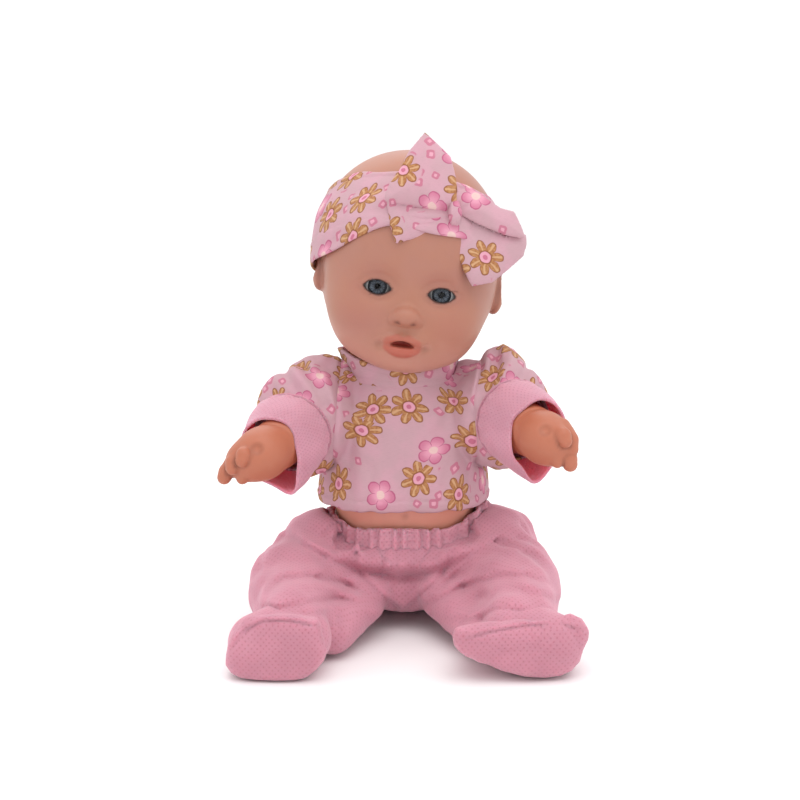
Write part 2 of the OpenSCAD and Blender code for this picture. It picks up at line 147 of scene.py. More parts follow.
def nets(f, lo, hi, h, newton=2):
    """closed quad mesh of f = 0 (surface nets), points pulled on to the surface"""
    lo = A(lo, dtype=float); hi = A(hi, dtype=float)
    n = np.ceil((hi - lo) / h).astype(int) + 1
    ys = lo[1] + h * np.arange(n[1]); zs = lo[2] + h * np.arange(n[2])
    D = np.empty(n, dtype=np.float32)
    step = max(1, int(1500000 / (n[1] * n[2])))
    for i in range(0, n[0], step):
        xs = lo[0] + h * np.arange(i, min(n[0], i + step))
        G = np.stack(np.meshgrid(xs, ys, zs, indexing="ij"), -1)
        D[i:i + step] = f(G)
    D[0] = np.maximum(D[0], 0.01); D[-1] = np.maximum(D[-1], 0.01)
    D[:, 0] = np.maximum(D[:, 0], 0.01); D[:, -1] = np.maximum(D[:, -1], 0.01)
    D[:, :, 0] = np.maximum(D[:, :, 0], 0.01); D[:, :, -1] = np.maximum(D[:, :, -1], 0.01)
    S = D < 0
    c = [(a, b, d) for a in (0, 1) for b in (0, 1) for d in (0, 1)]
    cnt = np.zeros(n - 1, dtype=np.int8)
    for a, b, d in c:
        cnt += S[a:n[0] - 1 + a, b:n[1] - 1 + b, d:n[2] - 1 + d]
    act = (cnt > 0) & (cnt < 8)
    I = np.argwhere(act)
    idx = -np.ones(n - 1, dtype=np.int64); idx[act] = np.arange(len(I))
    acc = np.zeros((len(I), 3)); num = np.zeros(len(I))
    for ai in range(8):
        for bi in range(ai + 1, 8):
            ca, cb = c[ai], c[bi]
            if sum(abs(ca[k] - cb[k]) for k in range(3)) != 1: continue
            da = D[I[:, 0] + ca[0], I[:, 1] + ca[1], I[:, 2] + ca[2]].astype(float)
            db = D[I[:, 0] + cb[0], I[:, 1] + cb[1], I[:, 2] + cb[2]].astype(float)
            m = (da < 0) != (db < 0)
            t = np.where(m, da / np.where(da == db, 1, da - db), 0)
            p = A(ca) + t[:, None] * (A(cb) - A(ca))
            acc += np.where(m[:, None], p, 0); num += m
    V = lo + h * (I + acc / num[:, None])
    F = []
    for ax in range(3):
        o = [k for k in range(3) if k != ax]
        sl0 = [slice(None)] * 3; sl1 = [slice(None)] * 3
        sl0[ax] = slice(0, n[ax] - 1); sl1[ax] = slice(1, n[ax])
        ch = S[tuple(sl0)] != S[tuple(sl1)]
        E = np.argwhere(ch)
        E = E[(E[:, o[0]] > 0) & (E[:, o[1]] > 0) & (E[:, o[0]] < n[o[0]] - 1) & (E[:, o[1]] < n[o[1]] - 1)]
        if len(E) == 0: continue
        ins = S[E[:, 0], E[:, 1], E[:, 2]]
        q = []
        for du, dv in ((0, 0), (1, 0), (1, 1), (0, 1)):
            e = E.copy(); e[:, o[0]] -= du; e[:, o[1]] -= dv
            q.append(idx[e[:, 0], e[:, 1], e[:, 2]])
        q = np.stack(q, 1)
        flip = ins if ax != 1 else ~ins
        q[flip] = q[flip][:, ::-1]
        F.append(q[:, ::-1])
    F = np.concatenate(F)
    for _ in range(newton):
        e = h * 0.25
        d = f(V)
        g = np.stack([(f(V + A(k) * e) - f(V - A(k) * e)) / (2 * e) for k in ((1, 0, 0), (0, 1, 0), (0, 0, 1))], -1)
        s = np.clip(d / np.maximum((g * g).sum(-1), 0.15), -h * 0.6, h * 0.6)
        V = V - s[:, None] * g
    return V, F


def mesh(name, V, F, mat=None, smooth=True, uv=None, attrs=None):
    """V in mm"""
    me = bpy.data.meshes.new(name)
    if isinstance(F, np.ndarray) and F.dtype != object:
        k = F.shape[1]
        me.vertices.add(len(V)); me.vertices.foreach_set("co", (np.asarray(V) * 0.001).astype(np.float32).ravel())
        me.loops.add(F.size); me.loops.foreach_set("vertex_index", F.astype(np.int32).ravel())
        me.polygons.add(len(F))
        me.polygons.foreach_set("loop_start", np.arange(0, F.size, k, dtype=np.int32))
        me.update(calc_edges=True); me.validate()
    else:
        me.from_pydata((np.asarray(V) * 0.001).tolist(), [], [list(f) for f in F]); me.validate()
    if smooth:
        me.polygons.foreach_set("use_smooth", np.ones(len(me.polygons), dtype=bool))
    for k2, a in (attrs or {}).items():
        at = me.attributes.new(k2, "FLOAT", "POINT"); at.data.foreach_set("value", np.asarray(a, dtype=np.float32))
    if uv is not None:
        set_uv(me, uv)
    o = bpy.data.objects.new(name, me); scene.collection.objects.link(o)
    if mat: me.materials.append(mat)
    return o


def set_uv(me, uv, period=None):
    """uv per vertex in mm -> UV layer, 1 UV unit = 100 mm; u wraps with the given period"""
    uv = np.asarray(uv, dtype=float)
    L = np.empty(len(me.loops), dtype=np.int32); me.loops.foreach_get("vertex_index", L)
    lu = uv[L].copy()
    if period:
        ls = np.empty(len(me.polygons), dtype=np.int32); me.polygons.foreach_get("loop_start", ls)
        lt = np.empty(len(me.polygons), dtype=np.int32); me.polygons.foreach_get("loop_total", lt)
        pid = np.repeat(np.arange(len(ls)), lt)
        mx = np.full(len(ls), -1e9); np.maximum.at(mx, pid, lu[:, 0])
        lu[:, 0] = np.where(mx[pid] - lu[:, 0] > period / 2, lu[:, 0] + period, lu[:, 0])
    lay = me.uv_layers[0] if me.uv_layers else me.uv_layers.new(name="UVMap")
    lay.data.foreach_set("uv", (lu * 0.01).astype(np.float32).ravel())


# =====================================================================
# node helpers
# =====================================================================
class NT:
    def __init__(s, nt): s.nt = nt; s.n = nt.nodes; s.l = nt.links
    def node(s, t, **kw):
        n = s.n.new(t)
        for k, v in kw.items(): setattr(n, k, v)
        return n
    def put(s, sock, v):
        if isinstance(v, bpy.types.NodeSocket): s.l.new(v, sock)
        elif isinstance(v, (tuple, list)) and len(v) == 3 and sock.type == "RGBA": sock.default_value = (*v, 1)
        else: sock.default_value = v
    def math(s, op, a, b=0.0, c=0.0, clamp=False):
        n = s.node("ShaderNodeMath", operation=op, use_clamp=clamp)
        s.put(n.inputs[0], a); s.put(n.inputs[1], b)
        if op in ("MULTIPLY_ADD", "SMOOTH_MIN", "SMOOTH_MAX", "COMPARE", "WRAP"): s.put(n.inputs[2], c)
        return n.outputs[0]
    def vmath(s, op, a, b=None, scale=None):
        n = s.node("ShaderNodeVectorMath", operation=op)
        s.put(n.inputs[0], a)
        if b is not None: s.put(n.inputs[1], b)
        if scale is not None: s.put(n.inputs[3], scale)
        return n.outputs["Value"] if op in ("LENGTH", "DOT_PRODUCT", "DISTANCE") else n.outputs[0]
    def mix(s, fac, a, b, blend="MIX"):
        n = s.node("ShaderNodeMix", data_type="RGBA", blend_type=blend, clamp_factor=True)
        s.put(n.inputs[0], fac); s.put(n.inputs[6], a); s.put(n.inputs[7], b)
        return n.outputs[2]
    def smooth(s, x, lo, hi, a=0.0, b=1.0):
        n = s.node("ShaderNodeMapRange", interpolation_type="SMOOTHSTEP")
        s.put(n.inputs[0], x); s.put(n.inputs[1], lo); s.put(n.inputs[2], hi); s.put(n.inputs[3], a); s.put(n.inputs[4], b)
        return n.outputs[0]
    def noise(s, vec, scale, detail=2.0, rough=0.5, dims="3D"):
        n = s.node("ShaderNodeTexNoise", noise_dimensions=dims)
        if vec is not None: s.put(n.inputs["Vector"], vec)
        n.inputs["Scale"].default_value = scale; n.inputs["Detail"].default_value = detail; n.inputs["Roughness"].default_value = rough
        return n.outputs["Fac"]
    def attr(s, name): return s.node("ShaderNodeAttribute", attribute_name=name).outputs["Fac"]
    def obj(s): return s.node("ShaderNodeTexCoord").outputs["Object"]
    def uvmm(s):
        return s.vmath("SCALE", s.node("ShaderNodeUVMap").outputs[0], scale=100.0)
    def bump(s, h, strength, dist, normal=None):
        n = s.node("ShaderNodeBump"); s.put(n.inputs["Height"], h)
        n.inputs["Strength"].default_value = strength; n.inputs["Distance"].default_value = dist
        if normal is not None: s.put(n.inputs["Normal"], normal)
        return n.outputs[0]
    def sep(s, v):
        n = s.node("ShaderNodeSeparateXYZ"); s.put(n.inputs[0], v); return n.outputs[0], n.outputs[1], n.outputs[2]
    def comb(s, x, y, z=0.0):
        n = s.node("ShaderNodeCombineXYZ"); s.put(n.inputs[0], x); s.put(n.inputs[1], y); s.put(n.inputs[2], z); return n.outputs[0]


def lin(r, g, b):
    f = lambda c: (c / 255 / 12.92) if c / 255 <= 0.04045 else ((c / 255 + 0.055) / 1.055) ** 2.4
    return (f(r), f(g), f(b))


# =====================================================================
# materials
# =====================================================================
def mat_skin(name="skin_vinyl", base=(0.40, 0.180, 0.140), warm=(0.42, 0.178, 0.112), face=False):
    m, nt, b = new_mat(name); g = NT(nt)
    P = g.obj()
    n1 = g.noise(P, 28.0, 3.0)
    n2 = g.noise(P, 420.0, 2.0)
    col = g.mix(g.smooth(n1, 0.3, 0.72), base, warm)
    col = g.mix(g.math("MULTIPLY", g.smooth(n2, 0.45, 0.8), 0.10), col, (base[0] * 0.86, base[1] * 0.82, base[2] * 0.8))
    if face:
        # painted light: skin under the chin and jaw made lighter, as if lit from below
        col = g.mix(g.attr("pale"), col, (base[0] * 1.30, base[1] * 1.40, base[2] * 1.36))
        col = g.mix(g.math("MULTIPLY", g.attr("blush"), 0.45), col, (0.38, 0.128, 0.104))
        # painted shade: darker at the eye openings, nostrils, mouth-corner dimples, ear hollows and nose creases
        col = g.mix(g.math("MULTIPLY", g.attr("shade"), 0.75), col, (0.17, 0.062, 0.046))
        lipn = g.math("MULTIPLY", g.attr("lip"), g.smooth(n2, 0.1, 0.7, 0.8, 1.0))
        col = g.mix(lipn, col, (0.42, 0.105, 0.070))
        # dark lash line along the lids, plus painted shadow in the gap round the eyeball and in the nostrils
        col = g.mix(g.attr("lash_and_painted_shade"), col, (0.020, 0.014, 0.014))
        col = g.mix(g.attr("mouth"), col, (0.40, 0.070, 0.050))
        col = g.mix(g.attr("gum"), col, (0.40, 0.115, 0.095))
    else:
        # painted shade in creases and hollows, from the shade mask
        col = g.mix(g.math("MULTIPLY", g.attr("shade"), 0.6), col, (0.20, 0.062, 0.038))
    nt.links.new(col, b.inputs["Base Color"])
    r = g.math("ADD", g.math("MULTIPLY", n1, 0.10), 0.40)
    if face: r = g.math("SUBTRACT", r, g.math("MULTIPLY", g.attr("lip"), 0.08))
    nt.links.new(r, b.inputs["Roughness"])
    b.inputs["Specular IOR Level"].default_value = 0.38
    b.inputs["Subsurface Weight"].default_value = 0.12
    b.inputs["Subsurface Radius"].default_value = (0.003, 0.0012, 0.0008)
    b.inputs["Subsurface Scale"].default_value = 1.0
    h = g.noise(P, 1900.0, 2.0)
    nt.links.new(g.bump(h, 0.05, 0.0004), b.inputs["Normal"])
    return m


def mat_plain(name, col, rough=0.5, metal=0.0, var=0.12, scale=120.0, spec=0.5, bump=0.06):
    m, nt, b = new_mat(name); g = NT(nt); P = g.obj()
    n = g.noise(P, scale, 3.0)
    c = g.mix(g.smooth(n, 0.3, 0.7), tuple(x * (1 - var) for x in col), tuple(min(1, x * (1 + var * 0.6)) for x in col))
    nt.links.new(c, b.inputs["Base Color"])
    nt.links.new(g.math("ADD", g.math("MULTIPLY", n, 0.16), rough - 0.08), b.inputs["Roughness"])
    b.inputs["Metallic"].default_value = metal
    b.inputs["Specular IOR Level"].default_value = spec
    nt.links.new(g.bump(g.noise(P, 1400.0, 2.0), bump, 0.0003), b.inputs["Normal"])
    return m


# =====================================================================
# head (neutral frame, mm; rolled about the neck ball at the end)
# =====================================================================
NECK = A([0.0, 2.0, 104.0]); ROLL = 8.0; HX = -2.65
R_ROLL = rotm("Y", ROLL)
def roll(V): return (np.asarray(V) - NECK) @ R_ROLL.T + NECK
def unroll(V): return (np.asarray(V) - NECK) @ R_ROLL + NECK
EYE = A([12.15, -26.2, 134.0])        # eye centre (|x - HX|)
EYE_R = 7.5


def almond(x, z, w=5.15, up=2.65, dn=2.6):
    """2-D distance to the eye opening, negative inside"""
    def arc(h): return (w * w + h * h) / (2 * h)
    Ru, Rd = arc(up), arc(dn)
    du = np.sqrt(x * x + (z + Ru - up) ** 2) - Ru
    dd = np.sqrt(x * x + (z - Rd + dn) ** 2) - Rd
    return np.maximum(du, dd)


def head_outer(P):
    x = np.abs(P[..., 0] - HX); q = np.stack([x, P[..., 1], P[..., 2]], -1)
    y, z = q[..., 1], q[..., 2]
    d = ell(P - A([HX - 2.2, 0.0, 0.0]), (0, 4.0, 147.5), (36.2, 38.6, 36.6))
    d = smin(d, ell(q, (0, -7.0, 129), (31.6, 30.0, 24.0)), 12)
    d = smin(d, sph(q, (11.2, -19.5, 119.5), 15.4), 9)          # cheeks
    d = smin(d, ell(q, (0, -24.5, 110.5), (11.5, 10.5, 8.6)), 8)  # chin
    d = smin(d, ell(q, (0, -28.5, 154.0), (20, 9, 14)), 12)       # forehead
    # narrower in front of the right ear
    d = d + 2.3 * gauss(nrm((P - A([HX - 35.0, -7.0, 133.0])) / A([9.0, 10.0, 11.0])))
    # neck
    d = smin(d, np.maximum(nrm(q[..., :2] - A([0.0, 2.0])) - 15.2, np.abs(z - 107) - 6.4), 4)
    # muzzle: the soft mound the mouth sits on
    d = smin(d, ell(q, (0, -30.5, 114.6), (10.5, 7.4, 8.2)), 5)
    # eye hollow and the bridge between
    d = smax(d, -ell(q, (13.2, -40.6, 135.2), (8.2, 5.0, 5.6)), 5)
    # nose
    nose = smin(cone(q, (0, -31.6, 136), (0, -34.9, 127.5), 2.0, 3.0), ell(q, (0, -37.8, 124.9), (5.3, 4.5, 3.9)), 3)
    nose = smin(nose, ell(q, (4.5, -36.4, 123.7), (2.2, 3.1, 2.7)), 1.2)
    d = smin(d, nose, 1.5)
    d = smax(d, -ell(q, (3.1, -41.2, 122.3), (0.95, 1.7, 0.75)), 0.35)   # nostrils
    # philtrum
    d = d + 0.22 * gauss((x) / 1.3) * gauss((z - 119.3) / 1.7) * (y < -25)
    # lips
    up = smin(ell(q, (2.6, -37.6, 116.3), (4.3, 1.9, 1.75)), ell(q, (5.6, -36.4, 115.1), (2.6, 1.5, 1.1)), 1.5)
    lo = ell(q, (0, -37.2, 111.4), (5.3, 2.2, 2.15))
    d = smin(d, up, 1.4); d = smin(d, lo, 1.6)
    # mouth opening, drawn with a cupid's bow
    zt, zb = 114.5 - 0.045 * x * x, 114.0 - 0.015 * x * x
    sz = np.where(z > zt, (z - zt) / 1.05, np.where(z < zb, (z - zb) / 0.9, 0.0))
    cav = np.sqrt((x / 4.6) ** 2 + sz ** 2 + ((y + 39.0) / 5.2) ** 2) - 1.0
    d = smax(d, -cav * 1.5, 0.9)
    d = smax(d, -sph(q, (9.1, -36.8, 113.1), 1.3), 1.8)   # dimple at the corner of the mouth
    d = d + 0.25 * gauss(nrm((q - A([0, -37, 107.2])) / A([5, 4, 1.4])))  # crease under the lip
    # ears
    Re = rotm("Z", 24) @ rotm("X", -8)
    qe = (q - A([33.2, 0.5, 133.5])) @ Re
    ear = ell(qe, (0.8, 0, 0), (3.2, 5.6, 8.6))
    bowl = ell(qe, (2.6, -3.2, 1.4), (1.9, 3.0, 4.8))
    ear = smax(ear, -bowl, 1.2)
    d = smin(d, ear, 1.8)
    # eyelids: rim, fold above, soft bag below
    ex = x - EYE[0]; ez = z - EYE[2]
    a2 = almond(ex, ez); front = sstep(-20, -28, y) * (x < 24)
    d = d - front * 0.55 * gauss((a2 - 0.55) / 0.75)
    d = d + front * 0.28 * gauss((a2 - 2.5) / 0.8) * sstep(0.0, 2.0, ez)
    d = d + front * 0.18 * gauss((a2 - 2.2) / 0.9) * sstep(0.0, -2.0, ez)
    return d


def head_f(P):
    d = head_outer(P)
    x = np.abs(P[..., 0] - HX); y, z = P[..., 1], P[..., 2]
    s = smax(d, -(d + 2.4), 0.3)
    # keep the mouth and nostril pockets closed behind
    pocket = ell(np.stack([x, y, z], -1), (0, -33.0, 114.0), (9.5, 4.6, 5.0))
    s = np.minimum(s, np.maximum(d, pocket))
    rr = nrm(P[..., :2] - A([0.0, 2.0]))
    collar = np.maximum(np.maximum(rr - 15.2, z - 113), d)
    s = np.minimum(s, collar)
    s = np.maximum(s, -np.maximum(rr - 13.2, z - 116))
    s = np.maximum(s, 100.9 - z)
    ex = x - EYE[0]; ez = z - EYE[2]
    hole = np.maximum(almond(ex, ez), y + 22)
    s = smax(s, -hole, 0.35)
    # room for the eyeball behind the lids
    s = np.maximum(s, -(sph(np.stack([x, y, z], -1), EYE, EYE_R + 0.12)))
    return s


def build_head():
    V, F = nets(head_f, (-45, -46, 98), (41, 46, 187), 0.75)
    x = np.abs(V[:, 0] - HX); y, z = V[:, 1], V[:, 2]
    front = sstep(-22, -30, y)
    # lips: outline of the painted area
    zu = 117.75 - 0.035 * x * x + 0.35 * gauss((x - 2.6) / 1.6) - 0.45 * gauss(x / 1.1)
    zl = 109.3 + 0.055 * x * x + 0.0 * x
    lip = sstep(0.55, -0.35, z - zu) * sstep(0.75, -0.4, zl - z) * sstep(7.9, 6.3, x) * front
    depth = y + 37.6
    zc = 114.3 - 0.03 * x * x
    zt, zb = 114.5 - 0.045 * x * x, 114.0 - 0.015 * x * x
    inm = np.sqrt((x / 4.2) ** 2 + np.where(z > zt, (z - zt) / 0.95, np.where(z < zb, (z - zb) / 0.8, 0.0)) ** 2)
    mouth = sstep(1.05, 0.8, inm) * sstep(-38.2, -36.4, y) * (y > -39.5) * (y < -20)
    gum = mouth * sstep(0.1, 0.6, (z - zc) / 1.05) * 0.8
    lip = lip * (1.0 - 0.22 * sstep(-0.6, 0.6, z - zc))
    a2 = almond(x - EYE[0], z - EYE[2])
    # painted shade at the rim of the eye opening and softly round the eyes, in the nostrils, in the dimples by the
    # mouth and in the hollow of the ear
    shade = front * (0.95 * gauss(np.maximum(a2 + 0.05, 0) / 0.55) + 0.16 * gauss(np.maximum(a2, 0) / 2.4))
    shade = np.maximum(shade, gauss(nrm((np.stack([x, y, z], -1) - A([3.1, -41.0, 122.3])) / A([0.95, 1.7, 0.7]))) * 1.0)
    shade = np.maximum(shade, 0.30 * gauss(nrm((np.stack([x, y, z], -1) - A([9.0, -35.5, 113.1])) / A([1.5, 3, 1.4]))))
    shade = np.maximum(shade, 0.85 * gauss(nrm(((np.stack([x, y, z], -1) - A([35.2, -2.4, 135.4])) / A([1.8, 3.4, 4.0])))))
    blush = front * (0.8 * gauss(nrm((np.stack([x, z], -1) - A([17.5, 121.0])) / A([10.0, 7.5])))
                     + 0.5 * gauss(nrm((np.stack([x, z], -1) - A([13.0, 139.0])) / A([10.0, 4.5])))
                     + 0.35 * gauss(nrm((np.stack([x, z], -1) - A([0.0, 124.0])) / A([4.5, 3.0])))
                     + 0.4 * gauss(nrm((np.stack([x, z], -1) - A([20.0, 133.0])) / A([4.0, 3.0]))))
    # painted shade in the crease round the wings of the nose, and a dark rim at the edge of the eye opening: partly
    # lash line, mostly painted shadow of the gap between lid and eyeball
    qn = np.stack([x, z], -1)
    dn = np.abs(np.minimum(nrm((qn - A([0.0, 125.0])) / A([5.9, 4.6])), nrm((qn - A([4.2, 123.6])) / A([2.6, 3.2]))) - 1.0)
    shade = np.maximum(shade, front * 0.12 * gauss(dn / 0.12) * sstep(128.0, 124.5, z) * sstep(119.8, 121.5, z))
    lash_and_painted_shade = sstep(-28, -30, y) * (x < 20) * (x > 4) * gauss(np.maximum(a2 - 0.05, 0) / np.where(z > EYE[2], 0.42, 0.28)) * np.where(z > EYE[2] - 0.6, 1.0, 0.75)
    # the same dark goes into the nostrils: painted shadow in the holes
    lash_and_painted_shade = np.maximum(lash_and_painted_shade, 0.8 * gauss(nrm((np.stack([x, y, z], -1) - A([3.1, -41.0, 122.4])) / A([0.85, 1.7, 0.6]))))
    # painted light: the skin is made lighter where it turns down towards the chest, standing in for light from below
    gr = grad(head_outer, V, 0.6); nz = gr[:, 2] / np.maximum(nrm(gr), 1e-6)
    pale = sstep(-0.05, -0.75, nz) * sstep(-6, -20, y) * sstep(121, 116, z) * (1 - np.clip(lip + mouth, 0, 1))
    inner = head_outer(V) < -1.2
    lip[inner & (mouth < 0.2)] = 0
    o = mesh("doll_head", roll(V), F, mat_skin("head_vinyl", face=True),
             attrs={"lip": np.clip(lip - mouth, 0, 1), "mouth": mouth, "gum": gum, "shade": np.clip(shade, 0, 1), "blush": np.clip(blush, 0, 1), "lash_and_painted_shade": np.clip(lash_and_painted_shade, 0, 1), "pale": pale})
    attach(o, "head"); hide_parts("head_shell")
    return o


# =====================================================================
# eyes
# =====================================================================
def revolve(prof, n=64, closed=True):
    """profile [(r, h)] about the local h axis; returns V (x, y, h), F"""
    V = []; F = []
    rings = []
    for r, h in prof:
        if r < 1e-6:
            rings.append([len(V)]); V.append((0, 0, h))
        else:
            rings.append(list(range(len(V), len(V) + n)))
            V += [(r * math.cos(2 * PI * k / n), r * math.sin(2 * PI * k / n), h) for k in range(n)]
    for a, b in zip(rings[:-1], rings[1:]):
        for k in range(n):
            k2 = (k + 1) % n
            if len(a) == 1 and len(b) == 1: continue
            if len(a) == 1: F.append((a[0], b[k2], b[k]))
            elif len(b) == 1: F.append((a[k], a[k2], b[0]))
            else: F.append((a[k], a[k2], b[k2], b[k]))
    return A(V, dtype=float), F


def eye_place(V, s):
    """local (x, y, h) with h forward -> world mm"""
    W = np.stack([V[:, 0], -V[:, 2], V[:, 1]], -1) + A([HX + s * EYE[0], EYE[1], EYE[2]])
    return roll(W)


def mat_iris():
    m, nt, b = new_mat("iris_print"); g = NT(nt)
    u, v, _ = g.sep(g.uvmm())            # u = angle (rad * 10), v = radius mm
    ang = g.math("MULTIPLY", u, 1.0)
    wav = g.noise(g.comb(g.math("MULTIPLY", g.math("SINE", g.math("MULTIPLY", ang, 0.1)), 9.0), g.math("MULTIPLY", g.math("COSINE", g.math("MULTIPLY", ang, 0.1)), 9.0), g.math("MULTIPLY", v, 0.35)), 1.0, 3.0, 0.65)
    spokes = g.smooth(wav, 0.42, 0.60)
    col = g.mix(spokes, (0.014, 0.018, 0.028), (0.135, 0.162, 0.200))
    ringl = g.smooth(g.math("ABSOLUTE", g.math("SUBTRACT", v, 2.15)), 0.0, 0.75, 0.22, 0.0)
    col = g.mix(ringl, col, (0.19, 0.225, 0.27))
    top = g.math("MULTIPLY", v, g.math("SINE", g.math("MULTIPLY", ang, 0.1)))
    col = g.mix(g.math("MULTIPLY", g.smooth(top, 0.3, 2.3), 0.8), col, (0.012, 0.014, 0.020))     # in the shade of the lid
    limb = g.smooth(v, 2.55, 2.95)
    col = g.mix(limb, col, (0.006, 0.008, 0.014))
    pup = g.smooth(v, 1.5, 0.95)
    col = g.mix(pup, col, (0.002, 0.002, 0.003))
    nt.links.new(col, b.inputs["Base Color"])
    b.inputs["Roughness"].default_value = 0.25; b.inputs["Specular IOR Level"].default_value = 0.18
    return m


def build_eyes():
    # the whites are grey rather than white: painted shade of the lids over the eyeball
    white = mat_plain("eye_white", (0.40, 0.385, 0.385), 0.16, var=0.05, scale=300, spec=0.6, bump=0.0)
    lens, nt, b = new_mat("eye_lens")
    b.inputs["Base Color"].default_value = (1, 1, 1, 1); b.inputs["Roughness"].default_value = 0.02
    b.inputs["Transmission Weight"].default_value = 1.0; b.inputs["IOR"].default_value = 1.10
    iris = mat_iris()
    allI, allL = [], []
    for s, nm in ((1, "left"), (-1, "right")):
        a1 = math.acos(3.7 / EYE_R)
        prof = [(0, -4.5), (3, -4.5)]
        prof += [(EYE_R * math.cos(a), EYE_R * math.sin(a)) for a in np.linspace(-math.acos(3 / EYE_R), a1, 40)]
        prof += [(3.7, 5.6), (0, 5.6)]
        V, F = revolve(prof, 72)
        o = mesh(nm + "_eye_ball", eye_place(V, s), F, white)
        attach(o, "head"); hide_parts(nm + "_eyeball")
        # iris: a shallow printed dish
        rr = np.linspace(0, 3.66, 16)
        pr = [(0, 5.62)] + [(3.66, 5.62), (3.66, 6.25)] + [(r, 5.95 + 0.3 * (r / 3.66) ** 2) for r in rr[::-1]]
        pr = [(0, 5.62), (3.66, 5.62)] + [(r if r > 1e-9 else 0, 5.95 + 0.3 * (r / 3.66) ** 2) for r in rr[::-1]]
        V, F = revolve(pr, 72)
        uv = np.stack([np.arctan2(V[:, 1], V[:, 0]) * 10, nrm(V[:, :2])], -1)
        allI.append((eye_place(V, s), F, uv))
        al = math.acos(3.6 / EYE_R)
        pl = [(0, 6.36), (3.6, 6.36)] + [((EYE_R) * math.cos(a) if a < PI / 2 - 1e-6 else 0, 0.02 + EYE_R * math.sin(a)) for a in np.linspace(al + 0.01, PI / 2, 14)]
        V, F = revolve(pl, 72)
        allL.append((eye_place(V, s), F))
    def join(name, parts, mat):
        V = np.concatenate([p[0] for p in parts]); F = []; off = 0
        for p in parts:
            F += [tuple(i + off for i in f) for f in p[1]]; off += len(p[0])
        me = mesh(name, V, F, mat)
        if len(parts[0]) > 2: set_uv(me.data, np.concatenate([p[2] for p in parts]), 20 * PI)
        return me
    o = join("eye_iris_discs", allI, iris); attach(o, "head"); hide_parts("eye_irises")
    o = join("eye_lens_domes", allL, lens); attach(o, "head"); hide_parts("eye_lenses")


# =====================================================================
# body forms shared by skin and clothes (mm)
# =====================================================================
def torso_d(P):
    z = P[..., 2]
    x0 = np.interp(z, [20, 50, 76], [5.0, 8.5, 10.0])
    Q = np.stack([np.maximum(np.abs(P[..., 0]) - x0, 0), P[..., 1], z], -1)
    d = np.minimum(cone(Q, (0, 0, 76), (0, -3, 50), 20, 21), cone(Q, (0, -3, 50), (0, 1, 20), 21, 16.5))
    return d


S_PT = A([31.0, 1.0, 82.0]); ARM_D = A([0.38, -math.sqrt(1 - 0.38 ** 2 - 0.0009), 0.03])
def arm_axes(side):
    d = ARM_D * A([side, 1, 1])
    if side < 0: d = rotm("X", 7.0) @ d
    u = A([0, 0, 1.0]) - d[2] * d; u /= np.linalg.norm(u)
    w = np.cross(d, u) * side            # points towards the middle of the doll
    return S_PT * A([side, 1, 1]), d, u, w


def arm_local(P, side):
    o, d, u, w = arm_axes(side)
    q = P - o
    return np.stack([q @ w, q @ u, q @ d], -1)       # (inward, up, along)


def arm_world(L, side):
    o, d, u, w = arm_axes(side)
    return o + L[..., 0:1] * w + L[..., 1:2] * u + L[..., 2:3] * d


def arm_f(side):
    def f(P):
        q = arm_local(P, side)
        bt = np.clip((q[..., 2] - 18) / 28.0, 0, 1.3)[..., None]
        q = q + bt * (A([0.0, 1.2, 0.0]) if side > 0 else A([1.0, 1.5, 0.0]))     # the forearm hangs a little
        d = smin(cone(q, (0, 0, 2), (0, -0.3, 24), 12.1, 12.2), cone(q, (0, -0.3, 24), (0, -0.5, 43), 12.2, 9.6), 4)
        d = smin(d, cone(q, (0, -0.5, 43), (-0.8, -0.8, 50), 9.3, 9.4), 2)
        d = d + (1.6 if side < 0 else 0.4) * gauss((q[..., 2] - 29) / 9.0)     # slimmer inside the cuff
        # chubby half-closed hand, seen end-on; the two are moulded a little differently
        if side > 0:
            palm = smin(ell(q, (-0.8, -1.5, 55.0), (9.5, 9.7, 9.4)), ell(q, (-2.6, -2.4, 59.6), (8.0, 7.9, 6.4)), 3)
            fs = [((-5.2, 3.4, 58.0), (-6.4, -0.8, 62.4), (-6.2, -4.0, 63.6), 3.2), ((-5.2, -4.2, 59.5), (-5.6, -7.6, 63.4), (-5.6, -9.6, 64.4), 3.0),
                  ((-1.6, -5.0, 60.0), (-1.4, -7.2, 62.0), (-1.2, -8.4, 62.6), 2.7), ((-1.4, 3.4, 60.5), (-2.2, 1.8, 65.6), (-2.4, -0.2, 66.8), 2.7)]
            dent = ((4.0, 4.2, 62.6), (-0.6, 5.2, 66.4))
        else:
            palm = smin(ell(q, (-1.6, -1.2, 55.0), (9.7, 9.7, 9.4)), ell(q, (-5.4, -2.8, 59.4), (7.6, 7.2, 6.4)), 3)
            fs = [((-4.2, 2.0, 58.5), (-3.2, 1.8, 64.4), (-3.4, -0.2, 65.8), 2.6), ((-8.2, 0.4, 58.0), (-8.0, -1.8, 64.0), (-7.8, -3.6, 65.4), 2.7),
                  ((-10.6, -3.0, 58.0), (-12.0, -6.4, 62.0), (-12.4, -8.2, 63.4), 2.9), ((-5.2, -6.0, 60.0), (-5.2, -7.2, 62.4), (-5.2, -8.2, 62.8), 2.4)]
            dent = ((1.6, 4.2, 62.8), (-5.8, 2.6, 66.0))
        d = smin(d, palm, 3.5)
        # crease at the wrist
        d = d + 0.4 * gauss((q[..., 2] - 46.2 - 0.02 * q[..., 1] ** 2) / 0.9) * sstep(-12, 4, q[..., 0] + q[..., 1])
        fi = None
        for a, b, c, r in fs:
            g1 = smin(cone(q, a, b, r + 0.3, r), cone(q, b, c, r, r * 0.92), 0.8)
            fi = g1 if fi is None else smin(fi, g1, 0.5)
        d = smin(d, fi, 0.7)
        # dimples on the back of the hand and beside the thumb
        d = smax(d, -sph(q, dent[0], 1.2), 2.6)
        d = smin(d, np.maximum(sph(P, S_PT * A([side, 1, 1]), 12.5), 0), 2)
        return np.maximum(d, 28.1 - np.abs(P[..., 0]))
    return f


